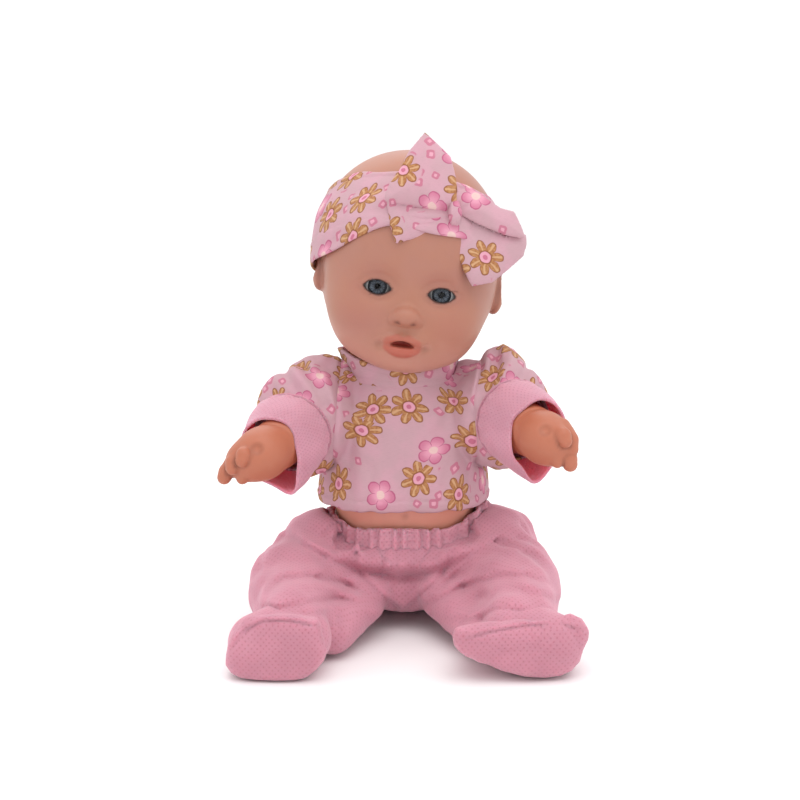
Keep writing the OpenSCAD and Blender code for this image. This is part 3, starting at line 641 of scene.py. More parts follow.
def build_arms():
    mat = mat_skin("limb_vinyl", base=(0.435, 0.135, 0.072), warm=(0.455, 0.152, 0.089))
    for side, nm in ((1, "left"), (-1, "right")):
        f = arm_f(side)
        lo = (26, -78, 58) if side > 0 else (-76, -78, 50); hi = (76, 16, 100) if side > 0 else (-26, 16, 98)
        V, F = nets(f, lo, hi, 0.8)
        q = arm_local(V, side)
        e = 1.6
        # cavity shading between the fingers and in the creases
        g = np.stack([(f(V + A(k) * 0.3) - f(V - A(k) * 0.3)) / 0.6 for k in ((1, 0, 0), (0, 1, 0), (0, 0, 1))], -1)
        g /= np.maximum(nrm(g), 1e-6)[:, None]
        occ = np.clip(1 - f(V + g * e) / e, 0, 1)
        occ2 = np.clip(1 - f(V + g * 0.8) / 0.8, 0, 1)
        shade = np.clip(1.6 * occ + 0.8 * occ2 - 0.12, 0, 1)
        o = mesh(nm + "_arm_vinyl", V, F, mat, attrs={"shade": shade})
        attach(o, nm + "_arm"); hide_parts(nm + "_arm")
        # push-in plug that the arm turns on
        x0 = 1 if side > 0 else -1
        prof = [(4, 22.2), (9.4, 22.2), (9.4, 24.2), (6.95, 24.2), (6.95, 29.2), (0, 29.2), (0, 26.0), (4, 26.0), (4, 22.2)]
        V, F = revolve(prof, 48)
        W = np.stack([x0 * V[:, 2], V[:, 0] + 1.0, V[:, 1] + 82.0], -1)
        o2 = mesh(nm + "_shoulder_plug", W, F, mat, smooth=False, attrs={"shade": np.zeros(len(W))})
        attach(o2, nm + "_arm")


def build_torso():
    # the belly vinyl is made much lighter than the limbs: painted light to cancel the shadow of the shirt hem
    mat = mat_skin("torso_vinyl_lightened", base=(0.70, 0.310, 0.235), warm=(0.71, 0.305, 0.210))
    def shell(P):
        d = torso_d(P)
        for sx in (-1, 1):
            ra = nrm(P[..., 1:] - A([1.0, 82.0])); rh = nrm(P[..., 1:] - A([0.0, 17.5])); ax = sx * P[..., 0]
            d = np.maximum(d, -np.maximum(ra - 21.6, 27.4 - ax))
            d = np.maximum(d, -np.maximum(rh - 15.4, 21.4 - ax))
            # round bosses that the plugs turn in
            d = np.minimum(d, np.maximum(ra - 13.0, np.maximum(12 - ax, ax - 27.4)))
            d = np.minimum(d, np.maximum(rh - 12.2, np.maximum(8 - ax, ax - 21.3)))
        inn = np.maximum(torso_d(P) + 2.5, np.abs(P[..., 0]) - np.where(P[..., 2] > 38.5, 24.5, 18.5))
        # keeps under the shirt by the armholes
        d = np.maximum(d, np.where((np.abs(P[..., 0]) > 17) & (P[..., 2] > 58), shirt_outer(P) + 2.0, -9.0))
        # navel
        d = smax(d, -sph(P, (0, -24.6, 44.0), 1.4), 1.6)
        s = np.maximum(d, -inn)
        ra = nrm(P[..., 1:] - A([1.0, 82.0])); rh = nrm(P[..., 1:] - A([0.0, 17.5])); ax = np.abs(P[..., 0])
        s = np.maximum(s, -(ra - 7.05)); s = np.maximum(s, -(rh - 8.05))
        s = np.maximum(s, -np.maximum(ra - 9.7, np.maximum(18 - ax, ax - 24.5)))
        s = np.maximum(s, -np.maximum(rh - 10.6, np.maximum(12 - ax, ax - 18.6)))
        s = np.maximum(s, -np.maximum(nrm(P[..., :2] - A([0.0, 2.0])) - 6.1, 84 - P[..., 2]))
        return s
    def front(P):
        s = np.maximum(shell(P), P[..., 1] - 0.9)
        return np.maximum(s, -np.maximum(nrm(np.stack([P[..., 0], P[..., 2] - 58.0], -1)) - 10.2, P[..., 1] + 12))
    def back(P):
        s = np.maximum(shell(P), 1.1 - P[..., 1])
        s = np.maximum(s, -np.maximum(np.maximum(np.abs(P[..., 0]) - 10.0, np.abs(P[..., 2] - 35) - 14.0), 5 - P[..., 1]))
        s = np.maximum(s, -np.maximum(np.maximum(np.abs(P[..., 0]) - 5.2, np.abs(P[..., 2] - 56) - 1.8), 10 - P[..., 1]))
        for a in list(range(0, 360, 60)) + [None]:
            cx, cz = (0, 72) if a is None else (6 * math.cos(math.radians(a)), 72 + 6 * math.sin(math.radians(a)))
            s = np.maximum(s, -np.maximum(nrm(np.stack([P[..., 0] - cx, P[..., 2] - cz], -1)) - 1.2, 8 - P[..., 1]))
        return s
    h = 1.0
    for nm, f, lo, hi in (("front", front, (-33, -27, 1), (33, 3, 99)), ("back", back, (-33, -1, 1), (33, 24, 99))):
        V, F = nets(f, lo, hi, h)
        # painted shade in the navel hollow
        o = mesh("torso_%s_vinyl" % nm, V, F, mat, attrs={"shade": 0.8 * gauss(nrm(V - A([0, -23.6, 44.0])) / 1.3)})
        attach(o, "torso"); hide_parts("torso_" + nm)


# =====================================================================
# cloth materials (UV in mm)
# =====================================================================
def thin_cloth(nt, b, c, share):
    """lets part of the light through, so the inside of a sleeve glows a little"""
    tr = nt.nodes.new("ShaderNodeBsdfTranslucent"); mx = nt.nodes.new("ShaderNodeMixShader")
    nt.links.new(c, tr.inputs["Color"]); mx.inputs[0].default_value = share
    nt.links.new(b.outputs[0], mx.inputs[1]); nt.links.new(tr.outputs[0], mx.inputs[2])
    out = [n for n in nt.nodes if n.type == "OUTPUT_MATERIAL"][0]
    nt.links.new(mx.outputs[0], out.inputs["Surface"])


PINK_GROUND = lin(208, 168, 177)
def mat_print(name="print_cloth"):
    m, nt, b = new_mat(name); g = NT(nt)
    uv = g.uvmm()
    warp = g.node("ShaderNodeTexNoise", noise_dimensions="2D"); g.put(warp.inputs["Vector"], uv)
    warp.inputs["Scale"].default_value = 0.35; warp.inputs["Detail"].default_value = 1.0
    uvw = g.vmath("ADD", uv, g.vmath("SCALE", g.vmath("SUBTRACT", warp.outputs["Color"], (0.5, 0.5, 0.5)), scale=0.7))

    def cells(pitch, rnd, shift):
        v = g.node("ShaderNodeTexVoronoi", voronoi_dimensions="2D", feature="F1")
        p = g.vmath("ADD", uvw, shift)
        g.put(v.inputs["Vector"], p); v.inputs["Scale"].default_value = 1.0 / pitch; v.inputs["Randomness"].default_value = rnd
        d = g.vmath("SUBTRACT", p, v.outputs["Position"])
        n = g.node("ShaderNodeSeparateColor"); g.put(n.inputs[0], v.outputs["Color"])
        x, y, _ = g.sep(d)
        r = g.math("SQRT", g.math("ADD", g.math("MULTIPLY", x, x), g.math("MULTIPLY", y, y)))
        a = g.math("ADD", g.math("ARCTAN2", y, x), g.math("MULTIPLY", n.outputs[1], 6.283))
        return r, a, n.outputs[0], n.outputs[2]

    col = PINK_GROUND
    # soft tone in the ground
    col = g.mix(g.smooth(g.noise(uv, 0.10, 2.0, dims="2D"), 0.35, 0.7, 0.0, 0.35), col, lin(228, 170, 189))
    # small rings
    rB, aB, kB, tB = cells(7.6, 0.75, (31.0, 17.0, 0.0))
    RB = g.math("ADD", g.math("MULTIPLY", tB, 0.6), 1.45)
    RB = g.math("MULTIPLY", RB, g.math("ADD", g.math("MULTIPLY", g.math("COSINE", g.math("MULTIPLY", aB, 4.0)), 0.10), 1.0))
    inB = g.smooth(g.math("SUBTRACT", rB, RB), 0.12, -0.12)
    coreB = g.smooth(g.math("SUBTRACT", rB, g.math("MULTIPLY", RB, 0.42)), 0.15, -0.15)
    onB = g.math("GREATER_THAN", kB, 0.34)
    colB = g.mix(coreB, lin(205, 128, 150), lin(233, 172, 190))
    # large motifs
    rA, aA, kA, tA = cells(16.8, 0.55, (0.0, 0.0, 0.0))
    c35 = g.math("ABSOLUTE", g.math("COSINE", g.math("MULTIPLY", aA, 3.5)))
    c25 = g.math("ABSOLUTE", g.math("COSINE", g.math("MULTIPLY", aA, 2.5)))
    Rleaf = g.math("ADD", g.math("MULTIPLY", g.math("POWER", c35, 0.75), 3.7), 3.3)
    Rpet = g.math("ADD", g.math("MULTIPLY", g.math("POWER", c25, 0.55), 2.6), 3.2)
    isleaf = g.math("LESS_THAN", kA, 0.56)
    R = g.math("ADD", g.math("MULTIPLY", isleaf, Rleaf), g.math("MULTIPLY", g.math("SUBTRACT", 1.0, isleaf), Rpet))
    inA = g.smooth(g.math("SUBTRACT", rA, R), 0.15, -0.15)
    clear = g.smooth(rA, 7.2, 8.2)
    col = g.mix(g.math("MULTIPLY", g.math("MULTIPLY", inB, onB), clear), col, colB)
    rim = g.smooth(g.math("SUBTRACT", rA, R), -0.75, -0.25)
    # leaf rosette: golden brown, light vein, darker rim, pink heart disc
    vein = g.smooth(c35, 0.93, 0.995)
    lf = g.mix(g.smooth(g.noise(uv, 0.9, 2.0, dims="2D"), 0.35, 0.65), lin(196, 143, 96), lin(178, 120, 78))
    lf = g.mix(g.math("MULTIPLY", vein, 0.75), lf, lin(226, 184, 142))
    lf = g.mix(rim, lf, lin(152, 98, 62))
    lf = g.mix(g.smooth(g.math("SUBTRACT", rA, 2.35), 0.15, -0.15), lf, lin(236, 170, 190))
    lf = g.mix(g.smooth(g.math("ABSOLUTE", g.math("SUBTRACT", rA, 2.35)), 0.42, 0.1), lf, lin(150, 96, 62))
    lf = g.mix(g.smooth(rA, 1.1, 0.8), lf, lin(206, 120, 146))
    # blossom: pink petals, darker edge, pale middle
    pe = g.mix(g.smooth(rA, 1.6, 5.0), lin(236, 168, 190), lin(214, 132, 160))
    pe = g.mix(rim, pe, lin(192, 100, 134))
    line = g.smooth(c25, 0.16, 0.04)
    pe = g.mix(g.math("MULTIPLY", line, g.smooth(rA, 1.6, 2.6)), pe, lin(196, 106, 138))
    pe = g.mix(g.smooth(rA, 1.75, 1.45), pe, lin(240, 205, 200))
    col = g.mix(inA, col, g.mix(isleaf, pe, lf))
    # weave
    u, v, _ = g.sep(uv)
    wv = g.math("MULTIPLY", g.math("SINE", g.math("MULTIPLY", u, 2 * PI / 0.42)), g.math("SINE", g.math("MULTIPLY", v, 2 * PI / 0.42)))
    slub = g.noise(g.comb(g.math("MULTIPLY", u, 0.5), g.math("MULTIPLY", v, 6.0)), 1.0, 2.0, dims="2D")
    col = g.mix(g.smooth(slub, 0.45, 0.75, 0.0, 0.10), col, (0.30, 0.14, 0.17))
    nt.links.new(col, b.inputs["Base Color"])
    nt.links.new(g.math("ADD", g.math("MULTIPLY", slub, 0.12), 0.74), b.inputs["Roughness"])
    b.inputs["Specular IOR Level"].default_value = 0.22
    b.inputs["Sheen Weight"].default_value = 0.12; b.inputs["Sheen Roughness"].default_value = 0.45
    h = g.math("ADD", g.math("MULTIPLY", wv, 0.5), g.math("MULTIPLY", slub, 0.8))
    nt.links.new(g.bump(h, 0.22, 0.0001), b.inputs["Normal"])
    thin_cloth(nt, b, col, 0.18)
    return m


def mat_knit(name, col, pitch=1.08, deep=0.74, strength=0.45):
    m, nt, b = new_mat(name); g = NT(nt)
    uv = g.uvmm()
    wob = g.noise(uv, 0.12, 2.0, dims="2D")
    u, v, _ = g.sep(uv)
    u = g.math("ADD", u, g.math("MULTIPLY", wob, 1.2)); v = g.math("ADD", v, g.math("MULTIPLY", wob, 0.9))
    k = PI / pitch
    d = g.math("MULTIPLY", g.math("SINE", g.math("MULTIPLY", u, k)), g.math("SINE", g.math("MULTIPLY", v, k * 0.92)))
    hole = g.smooth(d, 0.25, 0.95)
    n = g.noise(uv, 0.06, 3.0, dims="2D")
    c = g.mix(g.smooth(n, 0.3, 0.7), tuple(x * 0.95 for x in col), tuple(min(1, x * 1.04) for x in col))
    dark = (col[0] * deep, col[1] * deep * 0.80, col[2] * deep * 0.84)
    c = g.mix(g.math("MULTIPLY", hole, 0.40), c, dark)
    # the inside layer is made a bright, strong pink: painted glow of light coming through the thin knit
    c = g.mix(g.attr("inner"), c, (0.95, 0.34, 0.45))
    c = g.mix(g.math("MULTIPLY", g.attr("seam"), 0.7), c, (col[0] * 0.45, col[1] * 0.30, col[2] * 0.36))
    nt.links.new(c, b.inputs["Base Color"])
    nt.links.new(g.math("ADD", g.math("MULTIPLY", n, 0.10), 0.78), b.inputs["Roughness"])
    b.inputs["Specular IOR Level"].default_value = 0.18
    b.inputs["Sheen Weight"].default_value = 0.18; b.inputs["Sheen Roughness"].default_value = 0.4
    b.inputs["Sheen Tint"].default_value = (1.0, 0.82, 0.88, 1)
    fib = g.noise(uv, 7.0, 2.0, dims="2D")
    h = g.math("SUBTRACT", g.math("MULTIPLY", fib, 0.25), hole)
    nt.links.new(g.bump(h, strength, 0.00035), b.inputs["Normal"])
    # thin knit: light goes through to the inside
    b.inputs["Subsurface Weight"].default_value = 0.85
    b.inputs["Subsurface Radius"].default_value = (1.0, 0.55, 0.62); b.inputs["Subsurface Scale"].default_value = 0.0024
    return m


# fold lines are laid in the plane seen from the front (mm right, mm up of the camera target)
def view2(P):
    r = P - CAM_T
    se, ce = math.sin(CAM_E), math.cos(CAM_E)
    dep = CAM_D + r[..., 1] * ce - r[..., 2] * se
    return np.stack([r[..., 0], r[..., 1] * se + r[..., 2] * ce], -1) * (CAM_D / dep)[..., None]


def poly2(Q, pts):
    """distance, signed side and 0..1 position along a 2-D polyline"""
    pts = A(pts, dtype=float); best = None
    L = np.concatenate([[0], np.cumsum(np.sqrt(((pts[1:] - pts[:-1]) ** 2).sum(-1)))]); tot = L[-1]
    for i in range(len(pts) - 1):
        a, b = pts[i], pts[i + 1]; ab = b - a
        t = np.clip(((Q - a) @ ab) / (ab @ ab), 0, 1)
        v = Q - (a + t[..., None] * ab)
        d = np.sqrt((v * v).sum(-1)); sgn = np.sign(ab[0] * v[..., 1] - ab[1] * v[..., 0])
        s = (L[i] + t * (L[i + 1] - L[i])) / tot
        if best is None: best = [d, sgn, s]
        else:
            m = d < best[0]
            best = [np.where(m, d, best[0]), np.where(m, sgn, best[1]), np.where(m, s, best[2])]
    return best


def folds(P, lines, front):
    """sum of fold heights: each line is (points, width, height, lean): a valley with a lip on one side when height < 0"""
    Q = view2(P); out = np.zeros(P.shape[:-1])
    for pts, w, h, lean in lines:
        d, sg, s = poly2(Q, pts)
        taper = sstep(0.0, 0.18, s + 0.04) * sstep(1.04, 0.8, s)
        x = d * sg / w
        out = out + h * taper * gauss(x) - 0.75 * h * taper * lean * gauss((x - 1.7 * (1 if lean > 0 else -1)) / 1.1) * (1 if lean > 0 else -1)
    return out * front


def grad(f, V, e=0.25):
    return np.stack([(f(V + A(k) * e) - f(V - A(k) * e)) / (2 * e) for k in ((1, 0, 0), (0, 1, 0), (0, 0, 1))], -1)


def cloth(f, clip, lo, hi, h, t=1.0, rim=0.45):
    """a sheet of thickness t lying on f = 0 where clip < 0: outer layer, inner layer and a rounded rim"""
    V, F = nets(f, lo, hi, h)
    c = clip(V)
    keep = c[F].mean(1) < 0.0
    F = F[keep]
    used = np.zeros(len(V), dtype=bool); used[F.ravel()] = True
    mp = -np.ones(len(V), dtype=np.int64); mp[used] = np.arange(used.sum())
    V = V[used]; F = mp[F]
    # border points are pulled on to the cut line
    E = np.concatenate([F[:, [i, (i + 1) % 4]] for i in range(4)])
    key = np.sort(E, 1); kk = key[:, 0] * (len(V) + 1) + key[:, 1]
    _, inv, cnt = np.unique(kk, return_inverse=True, return_counts=True)
    B = E[cnt[inv] == 1]
    bi = np.unique(B.ravel())
    P = V[bi]
    for _ in range(6):
        gc = grad(clip, P); cc = clip(P)
        gf = grad(f, P); gf = gf / np.maximum(nrm(gf), 1e-6)[:, None]
        gt = gc - (gc * gf).sum(-1)[:, None] * gf
        st = cc / np.maximum((gt * gt).sum(-1), 0.2)
        P = P - np.clip(st, -h, h)[:, None] * gt
        d = f(P); P = P - np.clip(d, -h, h)[:, None] * gf
    ok = nrm(P - V[bi]) < 2.2 * h
    V[bi[ok]] = P[ok]
    # even the border out a little along itself
    nb = {}
    for a, b in B:
        nb.setdefault(a, []).append(b); nb.setdefault(b, []).append(a)
    two = np.array([k for k, v in nb.items() if len(v) == 2]); n1 = np.array([nb[k][0] for k in two]); n2 = np.array([nb[k][1] for k in two])
    for _ in range(3):
        V[two] = 0.5 * V[two] + 0.25 * (V[n1] + V[n2])
    g = grad(f, V); g = g / np.maximum(nrm(g), 1e-6)[:, None]
    n = len(V); cloth.last = (n, len(F), bi)
    W = V - g * t
    gc = grad(clip, V[bi]); gt = gc - (gc * g[bi]).sum(-1)[:, None] * g[bi]
    gt = gt / np.maximum(nrm(gt), 1e-3)[:, None]
    M = 0.5 * (V[bi] + W[bi]) + gt * (rim * t)
    mi = -np.ones(n, dtype=np.int64); mi[bi] = 2 * n + np.arange(len(bi))
    R1 = np.stack([B[:, 1], B[:, 0], mi[B[:, 0]], mi[B[:, 1]]], 1)
    R2 = np.stack([mi[B[:, 1]], mi[B[:, 0]], B[:, 0] + n, B[:, 1] + n], 1)
    return np.concatenate([V, W, M]), np.concatenate([F, F[:, ::-1] + n, R1, R2])


def set_uv_box(me, du=0.0):
    """flat UVs from the side each face looks to (mm), so the knit keeps its gauge"""
    n = len(me.polygons)
    N = np.empty(n * 3, dtype=np.float32); me.polygons.foreach_get("normal", N); N = np.abs(N.reshape(-1, 3))
    ax = np.argmax(N * A([0.9, 1.0, 1.0]), 1)
    co = np.empty(len(me.vertices) * 3, dtype=np.float32); me.vertices.foreach_get("co", co); co = co.reshape(-1, 3) * 1000
    L = np.empty(len(me.loops), dtype=np.int32); me.loops.foreach_get("vertex_index", L)
    lt = np.empty(n, dtype=np.int32); me.polygons.foreach_get("loop_total", lt)
    a = np.repeat(ax, lt); p = co[L]
    uv = np.where((a == 0)[:, None], p[:, [1, 2]], np.where((a == 1)[:, None], p[:, [0, 2]], np.stack([p[:, 0], -p[:, 1]], -1)))
    lay = me.uv_layers[0] if me.uv_layers else me.uv_layers.new(name="UVMap")
    lay.data.foreach_set("uv", ((uv + du) * 0.01).astype(np.float32).ravel())


def flat_uv(o, V, F, ref, period):
    """unrolls the outer layer of a cloth piece with little stretch (mm); ref is a rough unrolling that wraps at the cut"""
    n, nf, bi = cloth.last
    G = F[:nf]
    G = G[np.ptp(ref[G][:, :, 0], axis=1) < 0.5 * period]
    me = bpy.data.meshes.new("unroll"); me.from_pydata(V[:n].tolist(), [], G.tolist()); me.update()
    t = bpy.data.objects.new("unroll", me); scene.collection.objects.link(t)
    me.uv_layers.new(name="UVMap")
    bpy.ops.object.select_all(action="DESELECT")
    bpy.context.view_layer.objects.active = t; t.select_set(True)
    bpy.ops.object.mode_set(mode="EDIT"); bpy.ops.mesh.select_all(action="SELECT")
    bpy.ops.uv.unwrap(method="MINIMUM_STRETCH", iterations=12, margin=0.0)
    bpy.ops.object.mode_set(mode="OBJECT")
    uv = np.empty(len(me.loops) * 2, dtype=np.float32); me.uv_layers[0].data.foreach_get("uv", uv); uv = uv.reshape(-1, 2).astype(float)
    L = np.empty(len(me.loops), dtype=np.int32); me.loops.foreach_get("vertex_index", L)
    W = np.full((n, 2), np.nan); W[L] = uv
    bpy.data.objects.remove(t); bpy.data.meshes.remove(me)
    def quads(Q): return np.abs((Q[:, 2, 0] - Q[:, 0, 0]) * (Q[:, 3, 1] - Q[:, 1, 1]) - (Q[:, 2, 1] - Q[:, 0, 1]) * (Q[:, 3, 0] - Q[:, 1, 0])).sum() / 2
    a3 = nrm(np.cross(V[G[:, 2]] - V[G[:, 0]], V[G[:, 3]] - V[G[:, 1]])).sum() / 2
    W = W * math.sqrt(a3 / max(quads(W[G]), 1e-9))
    ok = ~np.isnan(W[:, 0])
    wc, rc = W[ok].mean(0), ref[:n][ok].mean(0)
    U, S, Vt = np.linalg.svd((W[ok] - wc).T @ (ref[:n][ok] - rc))
    W = (W - wc) @ (U @ Vt) + rc
    W[~ok] = ref[:n][~ok]
    # every layer takes the place of its outer point; faces over the cut follow their first corner
    me = o.data
    base = np.concatenate([np.arange(n), np.arange(n), bi])
    L = np.empty(len(me.loops), dtype=np.int32); me.loops.foreach_get("vertex_index", L)
    lt = np.empty(len(me.polygons), dtype=np.int32); me.polygons.foreach_get("loop_total", lt)
    ls = np.empty(len(me.polygons), dtype=np.int32); me.polygons.foreach_get("loop_start", ls)
    b = base[L]; w = W[b]
    f0 = np.repeat(b[ls], lt)
    du = ref[b] - ref[f0]; du[:, 0] -= period * np.round(du[:, 0] / period)
    far = nrm(w - W[f0]) > 4.0 + 2.0 * nrm(V[b] - V[f0])
    w[far] = W[f0][far] + du[far]
    lay = me.uv_layers[0] if me.uv_layers else me.uv_layers.new(name="UVMap")
    lay.data.foreach_set("uv", (w * 0.01).astype(np.float32).ravel())


# =====================================================================
# shirt: body, collar, back closure, puffed sleeves, knit cuffs
# =====================================================================
PRINT = None; KNIT = None; CUFFK = None
SEAM_X = 26.2                     # armhole seams
def seam_off(P):
    """signed distance past the armhole seam, outwards"""
    z = P[..., 2]
    return np.abs(P[..., 0]) - (SEAM_X + 1.6 * gauss((z - 70) / 12.0) - 1.2 * sstep(90, 104, z) * (P[..., 0] < 0) + 3.5 * sstep(90, 102, z) * (P[..., 0] > 0) + 14 * sstep(64, 55, z))


SHIRT_LINES = [
    ([(-21.5, -10), (-20.0, -24), (-20.5, -40)], 2.6, -0.9, 0.7),
    ([(27.5, -6), (26.5, -24), (27.5, -41)], 2.6, -0.9, -0.7),
    ([(-21.0, 2), (-13.0, -6), (-8.0, -18)], 2.6, -0.55, 0.6),
    ([(27.0, 4), (19.0, -5), (14.0, -16)], 2.6, -0.55, -0.6),
    ([(-20.5, -20), (-12.0, -27), (-9.0, -38)], 2.4, -0.5, 0.5),
    ([(26.5, -18), (19.0, -27), (17.0, -38)], 2.4, -0.5, -0.5),
    ([(2.0, -34), (3.0, -45)], 2.4, -0.5, 0.6),
    ([(-12.0, -36), (-13.5, -45)], 2.0, -0.45, -0.6),
    ([(12.0, -36), (13.0, -45)], 2.0, -0.45, 0.6),
]
SLEEVE_R = [   # photo left
    ([(-47, 12.5), (-40, 2), (-32.5, -10), (-29, -20)], 2.2, -1.7, 0.8),
    ([(-40, 16), (-33.5, 6), (-28.8, -6)], 1.9, -1.5, 0.8),
    ([(-44, 15), (-37, 5), (-31, -7)], 1.8, 0.9, 0.0),
    ([(-53, 6), (-45, -2), (-38, -14)], 2.0, -0.9, 0.6),
    ([(-33, 12), (-29, 2), (-27.6, -8)], 1.3, -0.9, 0.7),
]
SLEEVE_L = [
    ([(38.5, 19), (35.5, 8.7), (34.0, -4), (34.5, -18)], 2.0, -1.9, -0.8),
    ([(44.5, 21), (42.4, 10), (39.0, -2)], 2.0, 1.5, 0.0),
    ([(51.5, 15), (46.8, 7), (41.2, -4)], 1.9, -1.6, -0.7),
    ([(33.2, 16), (31.6, 4), (31.4, -8)], 1.3, -1.0, -0.7),
    ([(57, 6), (50, 1), (44, -8)], 1.8, -0.8, -0.6),
]


def ang(a, b): return np.angle(np.exp(1j * (a - b)))
# centre line and radii (inward, up) of the sleeve end and the cuff, at the seam and at the opening
CUFF = {1: ((0.0, -0.3), (-1.6, -3.8), (14.6, 15.2), (11.6, 12.6)), -1: ((-2.4, -2.4), (-2.6, -4.8), (15.6, 14.6), (11.6, 12.6))}
def cuff_ring(q, side):
    """angle and radius about the hanging centre line, divided by the ring's own radius"""
    c0, c1, r0, r1 = CUFF[side]
    t = np.clip((q[..., 2] - 28.0) / 18.0, 0, 1.2); k = sstep(4, 28, q[..., 2])
    w = q[..., 0] - (c0[0] * k + (c1[0] - c0[0]) * t); u = q[..., 1] - (c0[1] * k + (c1[1] - c0[1]) * t)
    rw = r0[0] + (r1[0] - r0[0]) * t; ru = r0[1] + (r1[1] - r0[1]) * t
    ph = np.arctan2(u, w)
    ring = 1 / np.sqrt((np.cos(ph) / rw) ** 2 + (np.sin(ph) / ru) ** 2)
    return ph, np.sqrt(w * w + u * u), ring, t


def sleeve_d(P, side):
    q = arm_local(P, side); s = q[..., 2]
    ph, r, ring, t = cuff_ring(q, side)
    R = np.interp(s, [-15.5, -14, -11, -6, 0, 6, 14, 20, 25, 28], [6.0, 10.5, 14.8, 17.4, 18.4, 19.2, 19.0, 18.0, 16.4, 15.4])
    up = np.clip(np.sin(ph), 0, 1); dn = np.clip(-np.sin(ph), 0, 1)
    peak = sstep(27, 33, np.abs(P[..., 0]))
    if side > 0:
        R = R + 7.6 * up ** 3 * gauss((s - 7.5) / 8.0) * peak + 1.2 * up ** 2
        R = R + 2.8 * gauss(ang(ph, 2.3) / 0.7) * gauss((s - 20) / 7.0)
    else:
        R = R + 3.6 * up ** 2 * gauss((s - 1.0) / 6.0) + 2.0 * up ** 3 * gauss((s - 19) / 5.0) + 0.8 * up ** 2
        R = R + 2.4 * gauss(ang(ph, 2.3) / 0.8) * gauss((s - 20) / 8.0)
    R = R + 2.2 * dn ** 2 * sstep(2, 14, s)
    # gathers run out from the armhole and in from the cuff
    so = seam_off(P)
    pl = np.cos(11 * ph + 2.0 * np.sin(2 * ph + side)) * 0.6 + np.cos(17 * ph + 1.3 * side) * 0.4
    R = R + 0.75 * pl * (0.35 + 0.65 * np.abs(np.sin(ph))) * gauss((so - 3.5) / 4.5)
    R = R + 0.8 * hash_noise(P / 11.0, 5 if side > 0 else 9)
    # drawn in to the cuff seam
    pc = np.cos(14 * ph + 0.7 * side) * 0.6 + np.cos(9 * ph + 2.1) * 0.5
    k = sstep(21.5, 27.6, s)
    R = R * (1 - k) + (ring + 0.1) * k + 0.5 * pc * gauss((s - 25.0) / 2.2)
    d = (r - R) * 0.86
    return np.maximum(np.maximum(d, s - 31.0), -15.6 - s)


def shirt_outer(P):
    z = P[..., 2]
    front = sstep(2, -10, P[..., 1])
    o = 1.7 + (1.9 + 1.3 * sstep(0, -16, P[..., 0])) * sstep(74, 49, z) + 0.5 * hash_noise(P / A([13.0, 13.0, 26.0]), 3) * sstep(92, 80, z)
    o = o + folds(P, SHIRT_LINES, front)
    # hem: a turned edge, a little proud, with the stitch line pressed in above it
    o = o + 0.35 * sstep(51.4, 50.6, z) - 0.35 * gauss((z - 51.2) / 0.5)
    b = torso_d(P) - o
    # cloth bridges from the chest and shoulders up to the collar
    fun = np.maximum(cone(P - A([-1.0, 0.0, 0.0]), (0, -1.0, 70), (0, 0.5, 98.5), 22.6, 19.6), P[..., 2] - 98.6)
    b = smin(b, fun, 5.0)
    # gathered cloth between the collar and the tops of the sleeves
    b = smin(b, np.minimum(ell(P, (-26.5, -1, 95.5), (7.5, 9.0, 8.0)), ell(P, (24.5, -1, 95.0), (7.0, 9.0, 7.5))), 4.0)
    sl = None
    for side, lines in ((1, SLEEVE_L), (-1, SLEEVE_R)):
        fade = sstep(27.0, 22.5, arm_local(P, side)[..., 2])
        d = sleeve_d(P, side) - 0.8 * folds(P, lines, sstep(8, -4, P[..., 1]) * (side * P[..., 0] > 20)) * fade
        if side > 0:
            v2 = view2(P); va, vb = v2[..., 0], v2[..., 1]
            d = d + 2.4 * sstep(41.2, 38.8, va) * sstep(29.5, 34.0, va) * sstep(-2, 8, vb) * sstep(2, -6, P[..., 1]) * fade
        sl = d if sl is None else np.minimum(sl, d)
    so = seam_off(P)
    d = smin(b, sl, 2.2)
    # the seam is pulled in
    d = d + 0.9 * gauss(so / 0.9) * (np.abs(P[..., 0]) > 18)
    return d


def shirt_clip(P):
    z = P[..., 2]
    hem = 47.4 + 0.35 * np.sin(P[..., 0] * 0.42 + 1.0) + 0.3 * np.sin(P[..., 0] * 0.83)
    rn = nrm(P[..., :2] - A([-1.0, 0.5]))
    return np.maximum(np.maximum(hem - z, np.where(z > 80, 17.2 - rn, -5.0)), np.where(rn < 22.0, z - 97.4, -5.0))


def sheet_area(o):
    return sum(p.area for p in o.data.polygons) / 2


